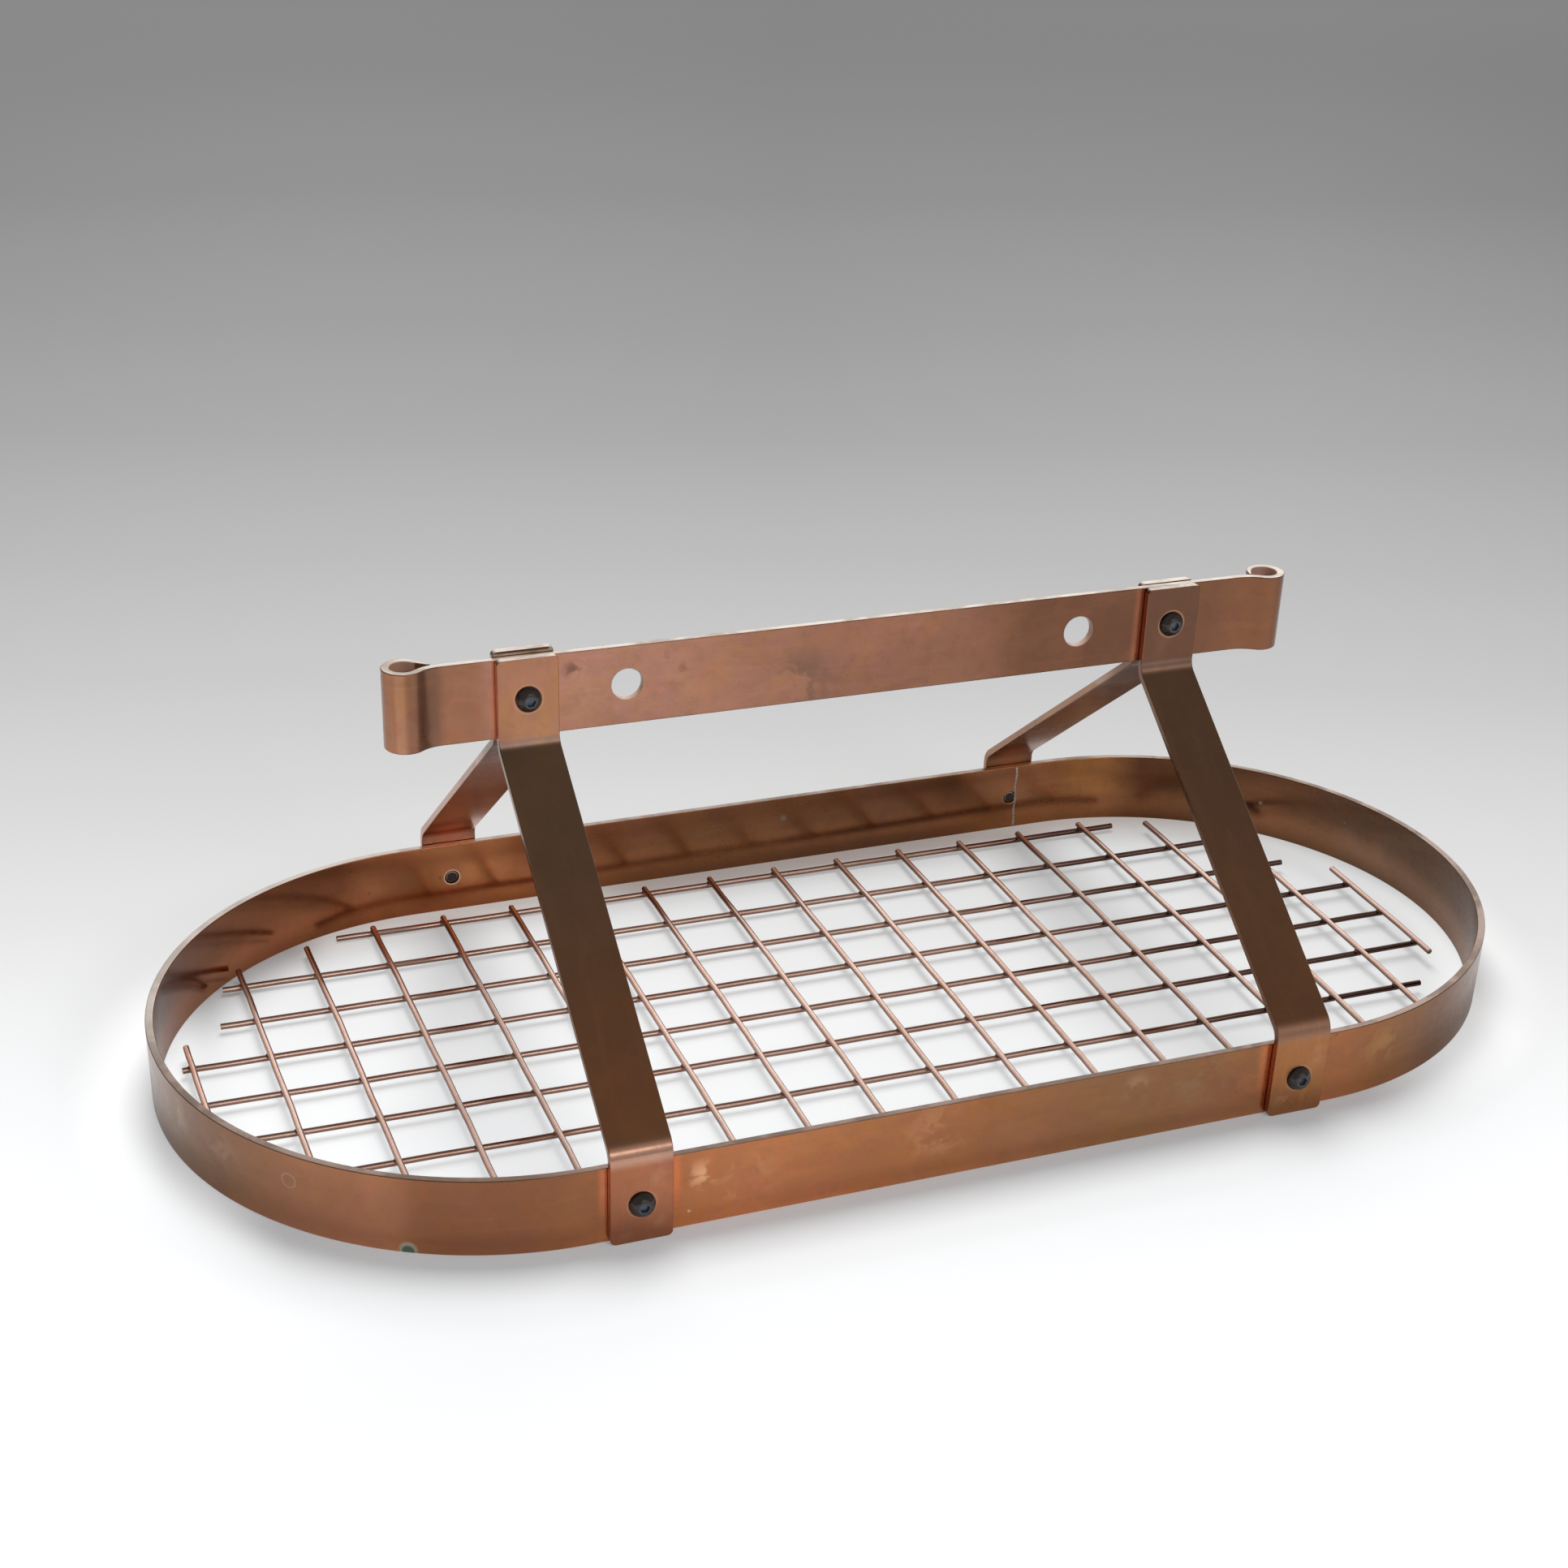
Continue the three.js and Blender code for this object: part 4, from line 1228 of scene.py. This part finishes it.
def make_grid():
    """Nine long wires with eighteen cross wires laid over them and welded."""
    verts, edges, weld, bead, crosswise = [], [], [], [], []

    def add_line(points, welds, beads, cross):
        start = len(verts)
        crosswise.extend([cross] * len(points))
        verts.extend(tuple(v * MM for v in p) for p in points)
        weld.extend(welds)
        bead.extend(v * MM for p in beads for v in p)
        edges.extend((start + i, start + i + 1) for i in range(len(points) - 1))

    low = GRID_MIDDLE[2] + WIRE_RADIUS
    high = low + 2 * WIRE_RADIUS - WELD_SINK
    for index, (across, left, right) in enumerate(LONG_WIRES):
        us = [left] + [at for at, near, far in CROSS_WIRES
                       if left + 1 < at < right - 1 and near < across < far] + [right]
        path = []
        for i, (a, b) in enumerate(zip(us, us[1:])):
            sag = WIRE_WAVE * math.sin(2.3 * i + 1.7 * index)
            path += [(a, across, low), ((a + b) / 2, across + sag, low)]
        path.append((right, across, low))
        points = [grid_place(*p) for p in path]
        add_line(points, [0.0] * len(points), points, 0.0)
    for index, (at, near, far) in enumerate(CROSS_WIRES):
        stops = [(near, 0.0)]
        stops += [(across, 1.0) for across, left, right in LONG_WIRES
                  if near < across < far and left < at < right]
        stops.append((far, 0.0))
        path, welds = [], []
        for i, (here, there) in enumerate(zip(stops, stops[1:])):
            sag = WIRE_WAVE * math.sin(1.9 * i + 2.6 * index)
            path += [(at, here[0], high), (at + sag, (here[0] + there[0]) / 2, high)]
            welds += [here[1], 0.0]
        path.append((at, far, high))
        welds.append(0.0)
        points = [grid_place(*p) for p in path]
        beads = [grid_place(u, v, (low + high) / 2) for u, v, _ in path]
        add_line(points, welds, beads, 1.0)
    mesh = bpy.data.meshes.new("welded_wire_grid")
    mesh.from_pydata(verts, edges, [])
    for name, kind, field, values in (
        ("weld", "FLOAT", "value", weld), ("crosswise", "FLOAT", "value", crosswise),
        ("bead_place", "FLOAT_VECTOR", "vector", bead),
    ):
        mesh.attributes.new(name, kind, "POINT").data.foreach_set(field, values)
    grid = run_tree(add_object("welded_wire_grid", mesh), grid_tree(), {
        "Wire radius": WIRE_RADIUS * MM, "Bead radius": WELD_BEAD_RADIUS * MM,
        "Wire finish": wire_copper, "Weld finish": weld_copper,
    })
    paint_wire_highlights(grid.data)
    grid.data.set_sharp_from_angle(angle=math.radians(50))
    nodes = [f"long_wire_{i}" for i in range(1, 10)] + [f"cross_wire_{i}" for i in range(1, 19)]
    finished(grid, nodes, "grid")


# ---------------------------------------------------------------- studio

# The camera's place in metres, its yaw, pitch and roll in degrees, and its focal length and
# the middle of its view in pixels of a picture this wide
PICTURE = 1932
SENSOR = 36.0
CAMERA_PLACE = (-0.60117, -1.38155, 0.87217)
CAMERA_TURN = (23.132, 30.095, 2.505)
CAMERA_FOCUS = 3184.14
CAMERA_MIDDLE = (1024.03, 1234.7)
# The floor is measured from under the camera: the way there, the directions ahead and to the
# side in the picture, and how the distance fans out to the side
FLOOR_START = (0.601, 1.382, 0.0)
FLOOR_AHEAD = (0.393, 0.920, 0.0)
FLOOR_SIDEWAYS = (0.920, -0.393, 0.0)
FLOOR_FAN = 23.07
FLOOR_SIZE = 14.0
# Distance ahead in metres, and level: the floor's colour, and the light of its own where seen
FLOOR_COLOUR = (
    (0.0, 0.87), (1.17, 0.87), (1.30, 0.82), (1.44, 0.75), (1.61, 0.622), (1.81, 0.52),
    (2.05, 0.414), (2.34, 0.323), (2.72, 0.248), (3.20, 0.207), (3.86, 0.181), (4.80, 0.176),
    (5.45, 0.178), (6.0, 0.178),
)
FLOOR_GLOW = (
    (0.0, 0.20), (1.17, 0.20), (1.30, 0.18), (1.44, 0.145), (1.61, 0.124), (1.81, 0.114),
    (2.05, 0.093), (2.34, 0.099), (2.72, 0.093), (3.20, 0.09), (3.86, 0.092), (4.80, 0.134),
    (5.45, 0.167), (6.0, 0.167),
)
# Evens the far floor out from left to right
FLOOR_ACROSS = (
    (0.0, 0.955), (0.02, 0.955), (0.15, 0.94), (0.23, 0.91), (0.32, 0.885), (0.42, 0.94),
    (0.52, 1.0), (0.62, 1.0), (0.7, 1.0),
)
# Light thrown on the floor outside the ring's left and right ends, and inside both
LEFT_BOUNCE, RIGHT_BOUNCE, INNER_BOUNCE = 0.21, 0.31, 0.16
COOLER = (0.93, 1.0, 1.055)
WARMER = (1.5, 0.9, 0.5)
WHITE = (1.0, 1.0, 1.0)
BLACK = (0.0, 0.0, 0.0)
# The colour of the painted shadow at the foot of the back wall
WALL_FOOT_SHADOW = (0.02, 0.0, 0.0)
# Soft boxes in front of the rack, in its gloss at full strength and as light on it at AMBIENT of
# that: direction, outer and inner degrees and brightness
FRONT_BOXES = (
    ((0.30, -0.84, 0.45), 34, 10, 0.35),
    ((0.155, -0.877, 0.454), 9, 6, 2.2),
    ((0.532, -0.760, 0.375), 14, 6, 0.6),
)
AMBIENT = 0.6
BACKDROP = 0.72


def make_camera():
    """The camera, at the photograph's place, lens and framing."""
    yaw, pitch, roll = (math.radians(v) for v in CAMERA_TURN)
    forward = Vector((math.sin(yaw) * math.cos(pitch), math.cos(yaw) * math.cos(pitch),
                      -math.sin(pitch)))
    right = Vector((math.cos(yaw), -math.sin(yaw), 0.0))
    up = right.cross(forward)
    right, up = (math.cos(roll) * right + math.sin(roll) * up,
                 math.cos(roll) * up - math.sin(roll) * right)
    data = bpy.data.cameras.new("camera")
    data.sensor_fit = "HORIZONTAL"
    data.sensor_width = SENSOR
    data.lens = CAMERA_FOCUS / PICTURE * SENSOR
    data.shift_x = (PICTURE / 2 - CAMERA_MIDDLE[0]) / PICTURE
    data.shift_y = (CAMERA_MIDDLE[1] - PICTURE / 2) / PICTURE
    data.clip_end = 100.0
    camera = add_object("camera", data)
    turn = Matrix((right, up, -forward)).transposed().to_4x4()
    camera.matrix_world = Matrix.Translation(CAMERA_PLACE) @ turn
    bpy.context.scene.camera = camera


def floor_bounce(n, x, y, off):
    """Light that the ring throws on the floor beside its round ends and its back wall."""
    within = n.part_way(off, 2, -2)
    beside = n.part_way(n.size(off), 42, 10)
    right_end = n.times(n.between(x, 0.26, 0.37, 0.0, RIGHT_BOUNCE),
                        n.between(x, 0.40, 0.45, 1.0, 0.4))
    left_end = n.between(x, -0.405, -0.450, 0.0, LEFT_BOUNCE)
    outer = n.times(n.part_way(off, -2, 2), n.part_way(off, 62, 10), n.plus(right_end, left_end))
    ends = n.plus(n.between(x, -0.405, -0.450), n.between(x, 0.345, 0.405))
    inner = n.times(beside, within, ends, INNER_BOUNCE)
    back = n.times(beside, within, n.between(y, 0.10, 0.19))
    # Painted shadow: the corner beside the back left wall stays darker
    corner = n.times(beside, n.between(x, -0.43, -0.40), n.between(x, -0.30, -0.34),
                     n.between(y, 0.05, 0.10))
    return n.plus(outer, inner), n.shaded(n.times(back, 0.05), WARMER), n.times(corner, 0.8)


def make_floor():
    """A wide pale floor, white in front of the rack and greyer far behind it."""
    material, n = new_material("studio_floor")
    place, x, y, _ = n.place()
    start = n.vector("ADD", place, FLOOR_START, "Vector")
    side = n.vector("DOT_PRODUCT", start, FLOOR_SIDEWAYS)
    depth = n.math("DIVIDE", n.vector("DOT_PRODUCT", start, FLOOR_AHEAD),
                   n.plus(1.0, n.math("DIVIDE", side, FLOOR_FAN)))
    colour = n.levels(depth, FLOOR_COLOUR)
    across = n.levels(n.plus(n.math("DIVIDE", side, depth), 0.35), FLOOR_ACROSS)
    far = n.times(n.between(depth, 2.0, 3.1), n.between(depth, 6.5, 4.0, 0.45, 1.0))
    even = n.blend(far, WHITE, across)

    # How far a place is outside the middle of the ring's bar
    off = n.math("SUBTRACT", n.from_oval(place, x), RING_MIDDLE * MM)
    within = n.part_way(off, 2, -2)
    bounce, warmth, corner = floor_bounce(n, x, y, off)
    # Inside the ring some of the floor's light is its own, so that shadows there stay faint
    share = n.times(within, n.between(off, -0.020, -0.055, 0.34, 0.45))
    inside = n.shaded(colour, share)
    colour = n.tinted(colour, within, BLACK, 0.4)
    # Painted shadow: the foot of the back wall lies in a dark strip
    foot = n.times(within, n.part_way(off, -26, -15), n.between(y, 0.16, 0.19),
                   n.between(x, -0.14, -0.07), n.between(x, 0.30, 0.14, 0.15, 1.0), 0.55)
    inside = n.blend(foot, inside, WALL_FOOT_SHADOW)
    colour = n.shaded(n.blend(foot, colour, WALL_FOOT_SHADOW), even)

    rays = n.add("ShaderNodeLightPath").outputs
    added = n.lights(inside, warmth, bounce)
    added = n.shaded(n.blend(corner, added, BLACK), rays["Is Camera Ray"])
    glow = n.shaded(n.levels(depth, FLOOR_GLOW), even)
    near = n.times(n.between(depth, 1.65, 1.35), n.between(off, 0.35, 0.12))
    glow = n.blend(near, glow, n.shaded(glow, COOLER))
    base = n.add("ShaderNodeBsdfDiffuse", {"Color": colour}).outputs[0]
    glow = n.add("ShaderNodeEmission", {"Color": n.lights(glow, added)}).outputs[0]
    lit = n.add("ShaderNodeAddShader", {0: base, 1: glow}).outputs[0]
    seen = n.most(rays["Is Camera Ray"], rays["Is Glossy Ray"])
    n.show(n.add("ShaderNodeMixShader", {0: seen, 1: base, 2: lit}))

    mesh = bpy.data.meshes.new("studio_floor")
    mesh.from_pydata([(-FLOOR_SIZE, -FLOOR_SIZE, 0), (FLOOR_SIZE, -FLOOR_SIZE, 0),
                      (FLOOR_SIZE, FLOOR_SIZE, 0), (-FLOOR_SIZE, FLOOR_SIZE, 0)],
                     [], [(0, 1, 2, 3)])
    mesh.materials.append(material)
    floor = add_object("studio_floor", mesh)


def soft_box(name, place, aim, size, power):
    """A lamp that lights the rack but isn't seen in its gloss."""
    data = bpy.data.lights.new(name, "AREA")
    data.shape = "RECTANGLE"
    data.size, data.size_y = size
    data.energy = power
    lamp = add_object(name, data)
    lamp.location = place
    lamp.rotation_euler = (Vector(aim) - Vector(place)).to_track_quat("-Z", "Y").to_euler()
    lamp.visible_glossy = False


def make_light():
    """A pale studio: bright low behind the rack, dim overhead, and soft boxes in front of it."""
    world = bpy.data.worlds.new("studio")
    bpy.context.scene.world = world
    world.use_nodes = True
    n = Nodes(world.node_tree, "ShaderNodeOutputWorld")
    direction = n.add("ShaderNodeTexCoord").outputs["Generated"]
    parts = n.add("ShaderNodeSeparateXYZ", {0: direction}).outputs

    def lobe(toward, outer, inner):
        """1 within inner degrees of a direction, 0 beyond outer."""
        near = n.vector("DOT_PRODUCT", direction, tuple(Vector(toward).normalized()))
        return n.between(near, math.cos(math.radians(outer)), math.cos(math.radians(inner)))

    behind = n.between(parts["Y"], -0.15, 0.45)
    low = n.between(parts["Z"], 0.78, 0.52)
    level = n.between(n.times(behind, low), 0.0, 1.0, 0.32, 0.72)
    level = n.plus(level, n.times(lobe((0.60, 0.74, 0.30), 42, 14), 0.55))
    dim = lobe((-0.75, 0.62, 0.12), 48, 18)
    level = n.times(level, n.between(dim, 0.0, 1.0, 1.0, 0.45))
    for toward, outer, inner, gain in FRONT_BOXES:
        level = n.plus(level, n.times(lobe(toward, outer, inner), gain))
    far_floor = n.times(behind, n.between(parts["Z"], 0.26, 0.10))
    level = n.times(level, n.between(far_floor, 0.0, 1.0, 1.0, 0.35))
    rays = n.add("ShaderNodeLightPath").outputs
    level = n.add("ShaderNodeMix", {
        0: rays["Is Glossy Ray"], 2: n.times(level, AMBIENT), 3: level,
    }, data_type="FLOAT").outputs[0]
    shown = n.add("ShaderNodeMix", {0: rays["Is Camera Ray"], 2: level, 3: BACKDROP},
                  data_type="FLOAT").outputs[0]
    n.show(n.add("ShaderNodeBackground", {"Color": shown, "Strength": 1.0}))

    soft_box("soft_box_above", (0.4, 1.6, 2.7), (0.0, 0.0, 0.05), (1.5, 2.6), 102.0)
    soft_box("soft_box_front", (0.9, -2.4, 1.5), (0.0, 0.0, 0.1), (1.2, 0.5), 12.0)


make_camera()
make_ring()
for corner, strap in STRAPS.items():
    make_strap(corner, *strap)
make_top_bar()
make_fasteners()
make_grid()
make_floor()
make_light()
bpy.context.scene.view_settings.view_transform = "Standard"
